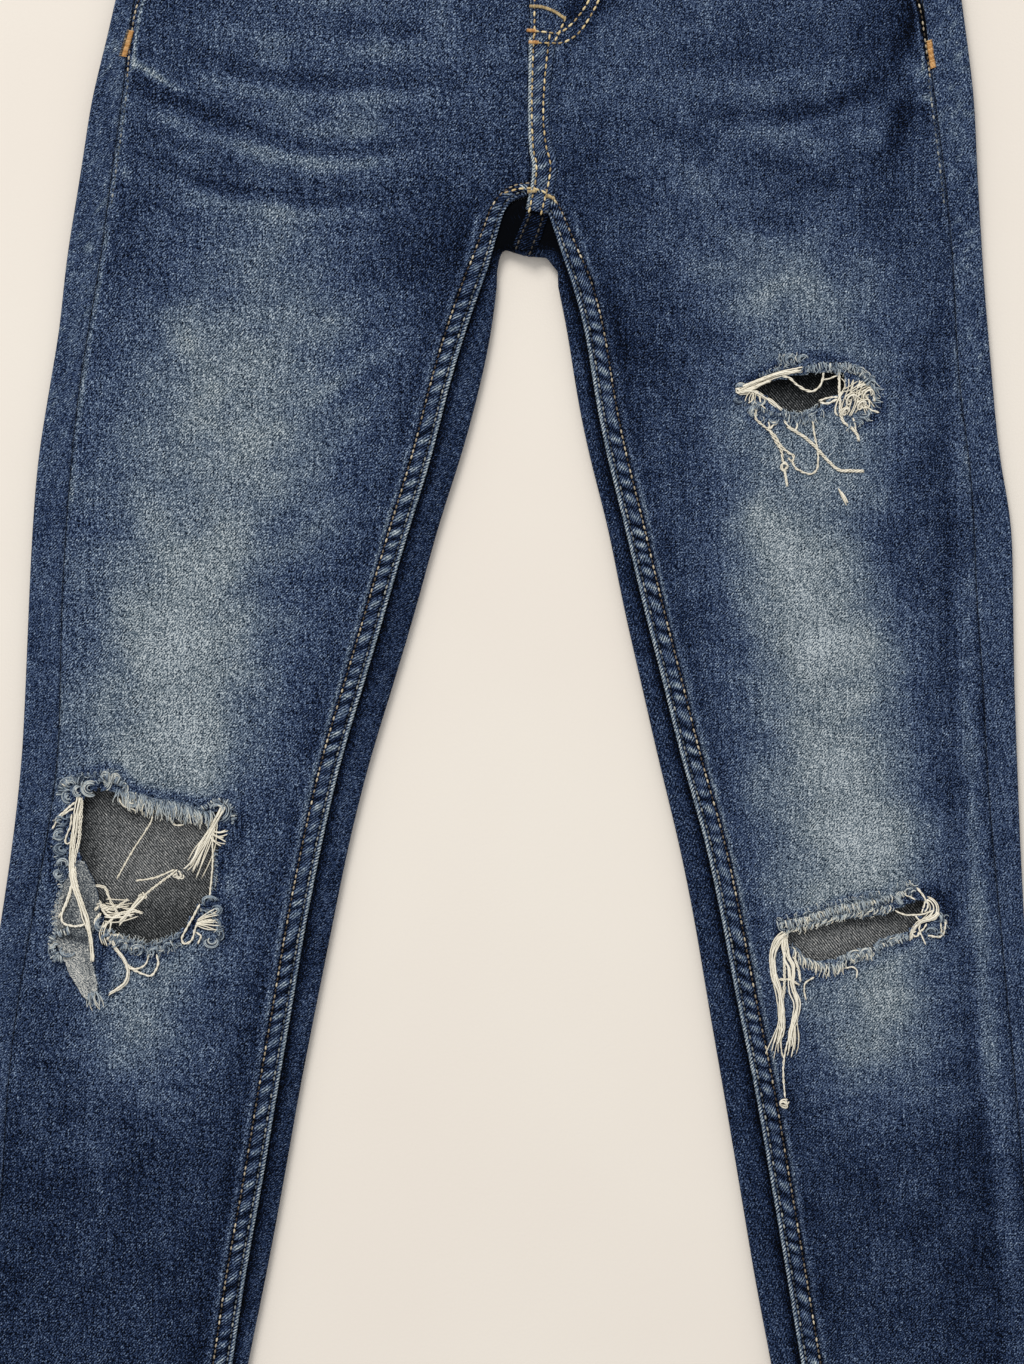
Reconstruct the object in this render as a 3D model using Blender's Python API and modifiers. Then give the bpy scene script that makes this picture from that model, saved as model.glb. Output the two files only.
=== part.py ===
"""Ripped skinny jeans laid flat on their back, built as cut panels of cloth.

Lengths in the tables are in millimetres.  X runs across the garment, +X to the wearer's left.
Y runs from the hems up to the waist, and Z rises from the surface that the jeans lie on.
"""

import math
from collections import namedtuple

import bpy
import bmesh
from mathutils import Vector

MM = 0.001

# Cloth
WALL = 1.2                  # stretch denim, one layer
BAND_WALL = 1.8             # waistband, two layers pressed
THIN = 1.0                  # loose threads, torn cloth, fly pieces
GAP = 0.3                   # clearance between pieces that touch
HALF_GAP = GAP / 2
ON_TOP = WALL + GAP         # from one layer's middle to the middle of the next

# Levels of the middle of each layer
FLOOR_LAYER = WALL / 2
POCKET_LIFT = ON_TOP        # the seat lies on its patch pockets

# Waist
BAND_HEIGHT = 40.0
BAND_FRONT_LEVEL = 6.7
BAND_UNDER_LEVEL = 4.6
BAND_BACK_LEVEL = 2.4
BAND_LEFT_EDGE = 207.0
BAND_RIGHT_EDGE = -173.5
WAIST_CENTRE = 16.5
WAIST_REACH = 190.0         # from the waist's centre to its side
WAIST_FRONT = 453.0         # waistband seam at the centre front
WAIST_SIDE = 462.0
WAIST_BACK = 479.0          # waistband seam at the centre back
YOKE_SIDE = 425.0
YOKE_BACK = 415.0

# Centre seams
FRONT_CENTRE = 9.0
BACK_CENTRE = 7.5

# Seams and turned edges
TURN_STEPS = 3
FLOOR_STEPS = 3
FLOOR_INSET = 14.0          # where a panel starts to turn up at the inner edge
SEAM_WIDTH = 10.5           # felled inseam
FACING_REACH = 20.0         # how far a pocket facing runs under the front
RISE_WIDTH = 11.5           # felled front rise

LOOP_WIDTH = 10.0
BUTTON_RADIUS = 8.5
BUTTON_POST = 4.5

Leg = namedtuple("Leg", "height outer outseam fold inseam inner top")
Hip = namedtuple("Hip", "height outer outseam pocket front back top lift")
Fork = namedtuple("Fork", "height start edge normal seam top lift")

RIGHT_LEG = [
    Leg(-519.0, -294.0, -279.0, -262.0, -170.5, -163.0, 4.4),
    Leg(-460.0, -289.5, -274.0, -258.0, -160.5, -153.0, 4.4),
    Leg(-400.0, -284.5, -268.5, -253.0, -150.0, -143.0, 4.4),
    Leg(-340.0, -279.0, -262.5, -247.0, -139.5, -133.0, 4.4),
    Leg(-300.0, -275.0, -259.0, -243.0, -134.0, -124.5, 4.4),
    Leg(-250.0, -269.5, -255.0, -239.0, -124.7, -115.2, 4.4),
    Leg(-200.0, -265.0, -252.5, -236.0, -116.5, -106.5, 4.4),
    Leg(-160.0, -261.0, -247.5, -232.0, -109.5, -98.5, 4.4),
    Leg(-120.0, -255.0, -240.5, -226.5, -103.0, -90.5, 4.4),
    Leg(-80.0, -249.0, -233.0, -220.5, -95.0, -82.5, 4.4),
    Leg(-40.0, -244.5, -227.0, -216.0, -86.0, -72.5, 4.4),
    Leg(0.0, -242.5, -226.0, -213.5, -73.7, -60.0, 4.4),
    Leg(40.0, -241.0, -225.5, -212.5, -62.0, -48.0, 4.4),
    Leg(80.0, -239.0, -223.0, -211.5, -50.5, -37.5, 4.4),
    Leg(112.0, -236.5, -220.5, -209.5, -40.0, -26.5, 4.4),
    Leg(145.0, -231.0, -217.0, -206.5, -32.5, -17.5, 4.4),
    Leg(180.0, -225.0, -211.5, -201.0, -22.0, -10.0, 4.5),
    Leg(205.5, -223.0, -206.5, -196.0, -12.5, -7.75, 5.0),
]

LEFT_LEG = [
    Leg(-519.0, 294.0, 278.0, 255.0, 176.0, 163.0, 4.4),
    Leg(-460.0, 286.5, 272.5, 250.0, 165.5, 152.5, 4.4),
    Leg(-400.0, 280.0, 267.0, 245.5, 155.0, 141.5, 4.4),
    Leg(-340.0, 274.0, 261.5, 241.5, 144.5, 130.5, 4.4),
    Leg(-300.0, 270.5, 259.0, 240.5, 138.0, 122.7, 4.4),
    Leg(-250.0, 266.0, 256.0, 236.5, 129.5, 114.5, 4.4),
    Leg(-200.0, 261.0, 252.0, 232.5, 121.0, 106.0, 4.4),
    Leg(-160.0, 258.0, 248.0, 228.0, 112.5, 99.0, 4.4),
    Leg(-120.0, 255.5, 244.5, 226.5, 105.2, 92.5, 4.4),
    Leg(-80.0, 253.5, 240.5, 225.0, 97.0, 84.5, 4.4),
    Leg(-40.0, 252.0, 237.5, 223.5, 85.0, 74.5, 4.4),
    Leg(0.0, 250.5, 236.0, 220.0, 75.5, 65.5, 4.4),
    Leg(40.0, 250.0, 232.5, 218.0, 65.0, 56.2, 4.4),
    Leg(80.0, 249.5, 231.5, 216.0, 56.0, 48.7, 4.4),
    Leg(112.0, 243.0, 229.0, 215.5, 47.5, 39.7, 4.4),
    Leg(145.0, 240.0, 224.0, 214.0, 41.0, 33.0, 4.4),
    Leg(180.0, 237.0, 222.0, 211.0, 36.5, 28.2, 4.5),
    Leg(205.5, 235.0, 221.2, 209.0, 28.0, 22.2, 5.0),
]

RIGHT_HIP = [
    Hip(241.0, -217.5, -202.0, -202.0, 2.0, 7.9, 5.7, 0.5),
    Hip(243.3, -217.2, -201.8, -201.8, 9.0, 8.0, 5.7, 0.6),
    Hip(256.0, -214.5, -200.0, -200.0, 9.0, 8.5, 6.0, 1.5),
    Hip(292.0, -209.5, -194.5, -194.5, 9.0, 10.0, 6.4, 1.5),
    Hip(318.0, -202.5, -192.5, -192.5, 9.0, 11.0, 6.4, 1.5),
    Hip(341.0, -197.5, -189.0, -184.5, 9.0, 12.0, 6.4, 1.5),
    Hip(385.0, -187.0, -179.5, -166.0, 9.0, 14.0, 6.4, 1.5),
    Hip(425.0, -178.5, -172.5, -140.0, 9.0, 15.0, 6.4, 1.5),
    Hip(462.0, -174.5, -168.5, -108.0, 9.0, 16.5, 6.4, 1.5),
]

LEFT_HIP = [
    Hip(241.0, 233.0, 218.0, 218.0, 12.0, 7.9, 5.7, 0.5),
    Hip(243.3, 232.8, 217.8, 217.8, 9.0, 8.0, 5.7, 0.6),
    Hip(256.0, 231.7, 216.0, 216.0, 9.0, 8.5, 6.0, 1.5),
    Hip(292.0, 230.5, 211.5, 211.5, 9.0, 10.0, 6.4, 1.5),
    Hip(313.0, 227.7, 209.0, 208.5, 9.0, 11.0, 6.4, 1.5),
    Hip(341.0, 224.0, 205.0, 200.0, 9.0, 12.0, 6.4, 1.5),
    Hip(385.0, 218.0, 201.5, 186.0, 9.0, 14.0, 6.4, 1.5),
    Hip(425.0, 212.5, 199.0, 160.0, 9.0, 15.0, 6.4, 1.5),
    Hip(462.0, 208.0, 196.5, 128.0, 9.0, 16.5, 6.4, 1.5),
]

# Where the back panels turn up at the crotch and meet the front: a row per station round the turn
RIGHT_FORK = [
    Fork(218.0, (-19.0, 218.0), (-6.3, 213.5), (0.92, -0.38), (-8.7, 218.0), 5.2, 0.0),
    Fork(227.0, (-11.0, 227.0), (-3.5, 216.5), (0.50, -0.86), (-5.4, 231.0), 5.4, 0.0),
    Fork(231.0, (-1.5, 231.0), (1.0, 215.5), (0.10, -1.0), (-0.2, 239.0), 5.5, 0.0),
    Fork(233.0, (7.5, 233.0), (7.5, 213.5), (0.0, -1.0), (7.5, 241.6), 5.5, 0.0),
]

LEFT_FORK = [
    Fork(214.0, (33.0, 214.0), (20.2, 209.5), (-0.80, -0.60), (24.4, 215.0), 5.2, 0.0),
    Fork(224.0, (25.0, 224.0), (17.5, 212.6), (-0.35, -0.94), (20.1, 229.0), 5.4, 0.0),
    Fork(230.0, (16.0, 230.0), (13.0, 213.2), (0.0, -1.0), (15.0, 237.4), 5.5, 0.0),
    Fork(233.0, (7.5, 233.0), (7.5, 213.5), (0.0, -1.0), (7.5, 240.9), 5.5, 0.0),
]

# Inner edge of each front panel from the leg up to the centre seam: height, place across, level
RIGHT_CROTCH = [(218.0, -9.0, 5.2), (227.0, -6.5, 5.4), (233.0, -5.0, 5.5), (238.0, -3.8, 5.6)]
LEFT_CROTCH = [(214.0, 25.0, 5.2), (224.0, 21.8, 5.4), (233.0, 18.8, 5.5), (238.0, 16.0, 5.6)]

RIGHT_KNEE_HOLE = [
    (-213.5, -57.0), (-198.0, -55.5), (-186.5, -64.5), (-175.5, -64.0), (-165.5, -69.0),
    (-152.5, -69.5), (-147.5, -63.5), (-148.0, -84.0), (-150.5, -105.5), (-156.5, -111.0),
    (-164.0, -122.0), (-178.0, -131.0), (-190.0, -130.0), (-202.0, -123.5), (-209.5, -105.0),
    (-216.0, -89.0),
]
LEFT_KNEE_HOLE = [
    (137.0, -124.5), (158.5, -120.0), (185.5, -116.0), (205.0, -109.0), (205.5, -113.5),
    (197.0, -126.0), (173.0, -134.0), (152.5, -139.5), (140.5, -132.5),
]
LEFT_THIGH_HOLE = [
    (121.0, 146.5), (136.0, 152.0), (162.0, 155.0), (166.5, 152.0), (163.0, 143.5),
    (141.5, 134.5), (126.0, 143.0),
]

# Reach of the frayed threads and torn cloth that lie on the front panels
FRAYS = {
    "fray_right_knee_top": [
        (-227.0, -47.0), (-196.0, -44.0), (-173.5, -51.0), (-137.0, -60.5), (-140.0, -70.0),
        (-152.0, -75.0), (-187.0, -70.0), (-201.0, -61.0), (-213.0, -61.5), (-226.0, -59.0),
    ],
    "fray_right_knee_outer": [(-221.0, -62.5), (-212.0, -62.5), (-214.0, -87.0), (-223.0, -87.0)],
    "fray_right_knee_inner": [
        (-148.0, -78.0), (-140.0, -79.0), (-149.0, -99.0), (-149.0, -111.5), (-143.0, -115.0),
        (-145.0, -129.0), (-158.0, -131.0), (-165.0, -128.0), (-163.0, -122.0), (-156.0, -110.0),
        (-158.0, -95.0),
    ],
    "fray_right_knee_bottom": [
        (-203.0, -130.0), (-191.0, -134.0), (-166.0, -133.0), (-161.0, -145.0), (-181.0, -148.0),
        (-201.0, -154.0),
    ],
    "torn_cloth_right_knee": [
        (-216.0, -89.0), (-210.0, -104.0), (-207.5, -134.5), (-207.0, -153.5), (-208.5, -163.5),
        (-215.0, -155.0), (-220.0, -143.5), (-230.0, -132.0), (-226.0, -125.0), (-228.5, -118.5),
        (-225.0, -102.0),
    ],
    "fray_left_thigh_top": [
        (109.0, 148.0), (124.0, 155.0), (146.5, 161.0), (175.0, 159.0), (173.0, 153.0),
        (147.0, 155.0), (129.0, 148.0), (113.0, 142.0),
    ],
    "fray_left_thigh_end": [
        (165.0, 151.0), (180.0, 148.0), (177.0, 131.0), (167.0, 132.0), (163.0, 143.0),
    ],
    "fray_left_thigh_bottom": [
        (120.0, 139.0), (139.0, 133.0), (151.5, 135.0), (153.0, 123.0), (139.0, 125.0),
        (127.0, 130.0),
    ],
    "fray_left_knee_top": [
        (135.0, -120.0), (159.0, -113.0), (184.0, -108.0), (200.0, -102.0), (205.0, -107.0),
        (184.0, -114.0), (159.0, -119.0), (139.0, -124.0),
    ],
    "fray_left_knee_end": [
        (207.0, -107.0), (216.0, -113.0), (216.0, -127.0), (204.0, -130.0), (200.0, -124.0),
        (206.5, -115.0),
    ],
    "fray_left_knee_bottom": [
        (142.0, -140.0), (164.0, -140.0), (184.0, -132.0), (197.0, -128.0), (198.0, -132.0),
        (179.0, -140.0), (159.0, -147.0), (144.0, -146.0),
    ],
    "fray_left_knee_tail": [
        (129.0, -129.0), (136.0, -128.0), (136.0, -154.0), (139.0, -179.0), (133.0, -180.0),
        (128.0, -149.0),
    ],
}
FRAY_LEVEL = 4.4 + WALL / 2 + GAP + THIN / 2

BACK_POCKET = [(-60.0, 68.0), (60.0, 68.0), (54.0, -48.0), (0.0, -70.0), (-54.0, -48.0)]
BACK_POCKET_PLACES = {"back_pocket_right": (-85.0, 340.0), "back_pocket_left": (113.0, 340.0)}

FLY_FACING = [(27.5, 452.0), (44.0, 452.0), (43.0, 345.0), (36.0, 328.0), (27.5, 322.0)]
FLY_SHIELD = [(2.0, 452.0), (44.0, 452.0), (42.0, 330.0), (2.0, 322.0)]
ZIP = [(11.0, 452.0), (26.5, 452.0), (26.5, 326.0), (11.0, 326.0)]
FLY_FACING_LEVEL = 4.9
FLY_SHIELD_LEVEL = 3.5
ZIP_LEVEL = 4.9

# Hue families of the materials
DENIM = (0.06, 0.09, 0.15)
DENIM_DARK = (0.03, 0.05, 0.09)
DENIM_LIGHT = (0.20, 0.24, 0.28)
THREAD = (0.72, 0.67, 0.53)
BRASS = (0.55, 0.38, 0.18)


def clear_scene():
    for item in list(bpy.data.objects):
        bpy.data.objects.remove(item, do_unlink=True)


def collection(name):
    group = bpy.data.collections.new(name)
    bpy.context.scene.collection.children.link(group)
    return group


def finish(name, colour, roughness=0.9, metallic=0.0):
    material = bpy.data.materials.new(name)
    material.use_nodes = True
    surface = material.node_tree.nodes["Principled BSDF"]
    surface.inputs["Base Color"].default_value = (*colour, 1.0)
    surface.inputs["Roughness"].default_value = roughness
    surface.inputs["Metallic"].default_value = metallic
    return material


def cloth(name, rows, wall, material, group):
    """A sheet lofted through rows of points and given its thickness.  Rows may differ in length."""
    mesh = bpy.data.meshes.new(name)
    sheet = bmesh.new()
    grid = [[sheet.verts.new(Vector(point) * MM) for point in row] for row in rows]
    for lower, upper in zip(grid, grid[1:]):
        for column in range(min(len(lower), len(upper)) - 1):
            sheet.faces.new((lower[column], lower[column + 1], upper[column + 1], upper[column]))
    sheet.to_mesh(mesh)
    sheet.free()
    piece = bpy.data.objects.new(name, mesh)
    piece.data.materials.append(material)
    group.objects.link(piece)
    solidify = piece.modifiers.new("thickness", "SOLIDIFY")
    solidify.thickness = wall * MM
    solidify.offset = 0.0
    solidify.use_even_offset = True
    return piece


def outline_curve(name, points, thickness, group):
    """A flat filled outline with a thickness, centred on its own level."""
    curve = bpy.data.curves.new(name, "CURVE")
    curve.dimensions = "2D"
    curve.fill_mode = "BOTH"
    curve.extrude = thickness * MM / 2
    spline = curve.splines.new("POLY")
    spline.points.add(len(points) - 1)
    for knot, (x, y) in zip(spline.points, points):
        knot.co = (x * MM, y * MM, 0.0, 1.0)
    spline.use_cyclic_u = True
    piece = bpy.data.objects.new(name, curve)
    group.objects.link(piece)
    return piece


def plate(name, points, level, thickness, material, group, place=(0.0, 0.0)):
    piece = outline_curve(name, points, thickness, group)
    piece.data.materials.append(material)
    piece.location = (place[0] * MM, place[1] * MM, level * MM)
    return piece


def cutter_from(curve_object, group):
    """Turns a filled outline into a closed mesh that a Boolean can use."""
    bpy.context.view_layer.update()
    evaluated = curve_object.evaluated_get(bpy.context.evaluated_depsgraph_get())
    mesh = bpy.data.meshes.new_from_object(evaluated)
    welded = bmesh.new()
    welded.from_mesh(mesh)
    bmesh.ops.remove_doubles(welded, verts=welded.verts, dist=1e-6)
    bmesh.ops.recalc_face_normals(welded, faces=welded.faces)
    welded.to_mesh(mesh)
    welded.free()
    cutter = bpy.data.objects.new(curve_object.name + "_cutter", mesh)
    cutter.matrix_world = curve_object.matrix_world
    cutter.hide_render = True
    cutter.display_type = "WIRE"
    group.objects.link(cutter)
    bpy.data.objects.remove(curve_object)
    return cutter


def cut_hole(piece, name, points, level, cutters):
    blank = outline_curve(name, points, 6.0, cutters)
    blank.location = (0.0, 0.0, level * MM)
    boolean = piece.modifiers.new(name, "BOOLEAN")
    boolean.operation = "DIFFERENCE"
    boolean.object = cutter_from(blank, cutters)


def lerp(a, b, t):
    return a + (b - a) * t


def turn(edge, normal, low, high):
    """Points round a folded edge, from the lower layer to the upper one."""
    radius = (high - low) / 2
    centre = (low + high) / 2
    points = []
    for step in range(TURN_STEPS + 1):
        angle = math.pi * (step / TURN_STEPS - 0.5)
        reach = radius * (math.cos(angle) - 1.0)
        points.append((
            edge[0] + normal[0] * reach,
            edge[1] + normal[1] * reach,
            centre + radius * math.sin(angle),
        ))
    return points


def unit(vector):
    length = math.hypot(*vector)
    return (vector[0] / length, vector[1] / length)


def outer_half(side, height, outer, outseam, low, high):
    """From the outseam on top, over the outer edge and down to the lower layer."""
    edge = turn((outer, height), (side, 0.0), low, high)
    return [(outseam + side * HALF_GAP, height, high)] + edge[::-1]


def back_panel(name, side, legs, forks, hips, material, group):
    rows = []
    for leg in legs:
        row = outer_half(side, leg.height, leg.outer, leg.outseam, FLOOR_LAYER, leg.top)
        start = leg.inner + side * FLOOR_INSET
        first = row[-1]
        for step in range(1, FLOOR_STEPS + 1):
            row.append((lerp(first[0], start, step / FLOOR_STEPS), leg.height, FLOOR_LAYER))
        row += turn((leg.inner, leg.height), (-side, 0.0), FLOOR_LAYER, leg.top)
        row.append((leg.inseam - side * HALF_GAP, leg.height, leg.top))
        rows.append(row)
    for fork in forks:
        outer, outseam = side_lines(fork.height, legs, hips)
        row = outer_half(side, fork.height, outer, outseam, FLOOR_LAYER, fork.top)
        first = row[-1]
        start = (shy_of_centre(fork.start[0], side), fork.start[1])
        for step in range(1, FLOOR_STEPS + 1):
            across = lerp(first[0], start[0], step / FLOOR_STEPS)
            row.append((across, fork.height, FLOOR_LAYER))
        edge = (shy_of_centre(fork.edge[0], side), fork.edge[1])
        row += turn(edge, unit(fork.normal), FLOOR_LAYER, fork.top)
        row.append((shy_of_centre(fork.seam[0], side), fork.seam[1], fork.top))
        rows.append(row)
    for hip in hips[2:-1]:
        rows.append(hip_back_row(side, hip, hip.height, hip.height))
    last = hips[-2]
    top_row = hip_back_row(side, last, YOKE_SIDE - HALF_GAP, YOKE_BACK - HALF_GAP)
    rows[-1] = top_row
    return cloth(name, rows, WALL, material, group)


def shy_of_centre(across, side):
    """Keeps half a gap to the centre back seam."""
    if abs(across - BACK_CENTRE) < HALF_GAP:
        return BACK_CENTRE + side * HALF_GAP
    return across


def side_lines(height, legs, hips):
    """Outer edge and outseam between the top of the leg table and the hips."""
    share = (height - legs[-1].height) / (hips[0].height - legs[-1].height)
    outer = lerp(legs[-1].outer, hips[0].outer, share)
    outseam = lerp(legs[-1].outseam, hips[0].outseam, share)
    return outer, outseam


def hip_back_row(side, hip, side_height, back_height):
    low = FLOOR_LAYER + hip.lift
    row = outer_half(side, side_height, hip.outer, hip.outseam, low, hip.top)
    first = row[-1]
    centre = hip.back + side * HALF_GAP
    for step in range(1, FLOOR_STEPS + 1):
        share = step / FLOOR_STEPS
        across = lerp(first[0], centre, share)
        row.append((across, lerp(side_height, back_height, share), low))
    return row


def yoke(name, side, hips, material, group):
    lower, upper = hips[-2], hips[-1]
    side_seam = waist_seam_front(upper.outseam)
    rows = [
        hip_back_row(side, lower, YOKE_SIDE + HALF_GAP, YOKE_BACK + HALF_GAP),
        hip_back_row(side, upper, side_seam - HALF_GAP, WAIST_BACK - HALF_GAP),
    ]
    return cloth(name, rows, WALL, material, group)


# Columns of a front panel: share of the way from the inseam to the fold, then across the fold
FRONT_SHARES = (0.0, 0.25, 0.5, 0.75)
FOLD_HALF_WIDTH = 6.0
FLAT_FOLD = 12.0            # from the outseam to the fold where the fold has died out


def front_row(side, height, outer, fold, inner, top, depth, ridge):
    """One section of a front panel, with a valley along the fold and a ridge beside it."""
    shoulder = fold - side * FOLD_HALF_WIDTH
    crest = fold + side * FOLD_HALF_WIDTH * 0.7
    columns = [(lerp(inner, shoulder, share), 0.0) for share in FRONT_SHARES]
    columns += [(shoulder, 0.0), (fold, -depth), (crest, ridge), (outer, 0.0)]
    return [(across, height, top + rise) for across, rise in columns]


def front_panel(name, side, legs, crotch, hips, depth, ridge, material, group):
    rows = []
    for leg in legs:
        outer = leg.outseam - side * HALF_GAP
        inner = leg.inseam + side * HALF_GAP
        rows.append(front_row(side, leg.height, outer, leg.fold, inner, leg.top, depth, ridge))
    for height, across, top in crotch:
        outseam = side_lines(height, legs, hips)[1]
        fold = outseam - side * FLAT_FOLD
        outer = outseam - side * HALF_GAP
        inner = across + side * HALF_GAP
        rows.append(front_row(side, height, outer, fold, inner, top, 0.0, 0.0))
    for hip in hips:
        outer = hip.pocket - side * HALF_GAP
        inner = hip.front + side * HALF_GAP
        fold = hip.pocket - side * FLAT_FOLD
        rows.append(front_row(side, hip.height, outer, fold, inner, hip.top, 0.0, 0.0))
    rows[-1] = along_waist_seam(rows[-1])
    return cloth(name, rows, WALL, material, group)


def along_waist_seam(row):
    """Brings the top row of a piece just below the waistband."""
    return [(across, waist_seam_front(across) - HALF_GAP, level) for across, _, level in row]


def waist_seam_front(across):
    share = min(1.0, abs(across - WAIST_CENTRE) / WAIST_REACH)
    return lerp(WAIST_FRONT, WAIST_SIDE, share)


def waist_seam_back(across):
    share = min(1.0, abs(across - WAIST_CENTRE) / WAIST_REACH)
    return lerp(WAIST_BACK, WAIST_SIDE, share)


def pocket_facing(name, side, hips, material, group):
    """The denim that shows in the scoop of a front pocket, sewn to the outseam."""
    rows = []
    for hip in hips[3:]:
        outer = hip.outseam - side * HALF_GAP
        inner = hip.pocket - side * FACING_REACH
        level = hip.top - ON_TOP
        middle = lerp(outer, inner, 0.5)
        rows.append([(across, hip.height, level) for across in (outer, middle, inner)])
    rows[-1] = along_waist_seam(rows[-1])
    return cloth(name, rows, WALL, material, group)


def waistband(material, group):
    """One folded band: underlap, round the wearer's right side, back, left side and over the front."""
    stations = [
        (28.0, BAND_UNDER_LEVEL, "front"),
        (-8.0, BAND_UNDER_LEVEL, "front"),
        (-26.0, BAND_FRONT_LEVEL, "front"),
        (-80.0, BAND_FRONT_LEVEL, "front"),
        (-130.0, BAND_FRONT_LEVEL, "front"),
    ]
    right = turn((BAND_RIGHT_EDGE, 0.0), (-1.0, 0.0), BAND_BACK_LEVEL, BAND_FRONT_LEVEL)
    left = turn((BAND_LEFT_EDGE, 0.0), (1.0, 0.0), BAND_BACK_LEVEL, BAND_FRONT_LEVEL)
    stations += [(x, z, "side") for x, y, z in right[::-1]]
    stations += [(x, BAND_BACK_LEVEL, "back") for x in (-120.0, -50.0, WAIST_CENTRE, 80.0, 150.0)]
    stations += [(x, z, "side") for x, y, z in left]
    stations += [(x, BAND_FRONT_LEVEL, "front") for x in (150.0, 90.0, 40.0, -8.0)]
    seam = {"front": waist_seam_front, "back": waist_seam_back, "side": lambda x: WAIST_SIDE}
    lower = [(x, seam[face](x) + HALF_GAP, z) for x, z, face in stations]
    upper = [(x, y + BAND_HEIGHT - GAP, z) for x, y, z in lower]
    return cloth("waistband", [lower, upper], BAND_WALL, material, group)


def belt_loops(material, group):
    front_level = BAND_FRONT_LEVEL + BAND_WALL / 2 + GAP + WALL / 2
    for name, across in (("belt_loop_front_right", -78.0), ("belt_loop_front_left", 111.0)):
        seam = waist_seam_front(across)
        stations = [
            (seam - 7.0, 6.4 + ON_TOP),
            (seam - 2.5, front_level),
            (seam + BAND_HEIGHT / 2, front_level + 0.4),
            (seam + BAND_HEIGHT - 1.0, front_level),
        ]
        belt_loop(name, across, stations, material, group)
    for name, across in (
        ("belt_loop_back_right", -94.0),
        ("belt_loop_back_centre", WAIST_CENTRE),
        ("belt_loop_back_left", 127.0),
    ):
        seam = waist_seam_back(across)
        stations = [(seam - 7.0, FLOOR_LAYER), (seam + BAND_HEIGHT - 1.0, FLOOR_LAYER)]
        belt_loop(name, across, stations, material, group)


def belt_loop(name, across, stations, material, group):
    half = LOOP_WIDTH / 2
    rows = [[(across - half, y, z), (across + half, y, z)] for y, z in stations]
    return cloth(name, rows, WALL, material, group)


def inseam(name, side, legs, crotch, material, group):
    """The felled inseam: the front panel's edge points moved out by one layer."""
    rows = []
    for height, across, top in [(leg.height, leg.inseam, leg.top) for leg in legs] + crotch:
        level = top + ON_TOP
        outer = across + side * SEAM_WIDTH
        rows.append([
            (outer, height, level),
            (lerp(outer, across, 0.5), height, level + 0.3),
            (across, height, level),
        ])
    return cloth(name, rows, WALL, material, group)


def front_rise(material, group):
    """The felled centre front seam, from the crotch to the bottom of the fly."""
    rows = []
    for height, top in ((245.5, 5.75), (256.0, 6.0), (292.0, 6.4), (320.0, 6.4)):
        level = top + ON_TOP
        rows.append([(FRONT_CENTRE, height, level), (FRONT_CENTRE + RISE_WIDTH, height, level)])
    return cloth("front_rise_seam", rows, WALL, material, group)


def back_rise(material, group):
    """The felled centre back seam where it turns up at the crotch."""
    half = RISE_WIDTH / 2
    rows = []
    for height, top in ((217.0, 5.5), (226.0, 5.5), (234.0, 5.5)):
        level = top + ON_TOP
        rows.append([(BACK_CENTRE - half, height, level), (BACK_CENTRE + half, height, level)])
    return cloth("back_rise_seam", rows, WALL, material, group)


def waist_button(material, group):
    """A jeans button: a dished cap turned with its post."""
    base = BAND_FRONT_LEVEL + BAND_WALL / 2 + GAP
    profile = [
        (0.0, base + 3.4), (5.5, base + 3.6), (7.8, base + 3.2), (BUTTON_RADIUS, base + 2.4),
        (7.8, base + 1.6), (BUTTON_POST, base + 1.2), (BUTTON_POST, base), (0.0, base),
    ]
    mesh = bpy.data.meshes.new("waist_button")
    points = [(radius * MM, 0.0, height * MM) for radius, height in profile]
    mesh.from_pydata(points, [(i, i + 1) for i in range(len(points) - 1)], [])
    piece = bpy.data.objects.new("waist_button", mesh)
    piece.data.materials.append(material)
    piece.location = (8.0 * MM, (WAIST_FRONT + BAND_HEIGHT / 2) * MM, 0.0)
    group.objects.link(piece)
    screw = piece.modifiers.new("turn", "SCREW")
    screw.steps = 16
    screw.render_steps = 16
    screw.use_merge_vertices = True
    screw.merge_threshold = 0.00001
    return piece


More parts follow.
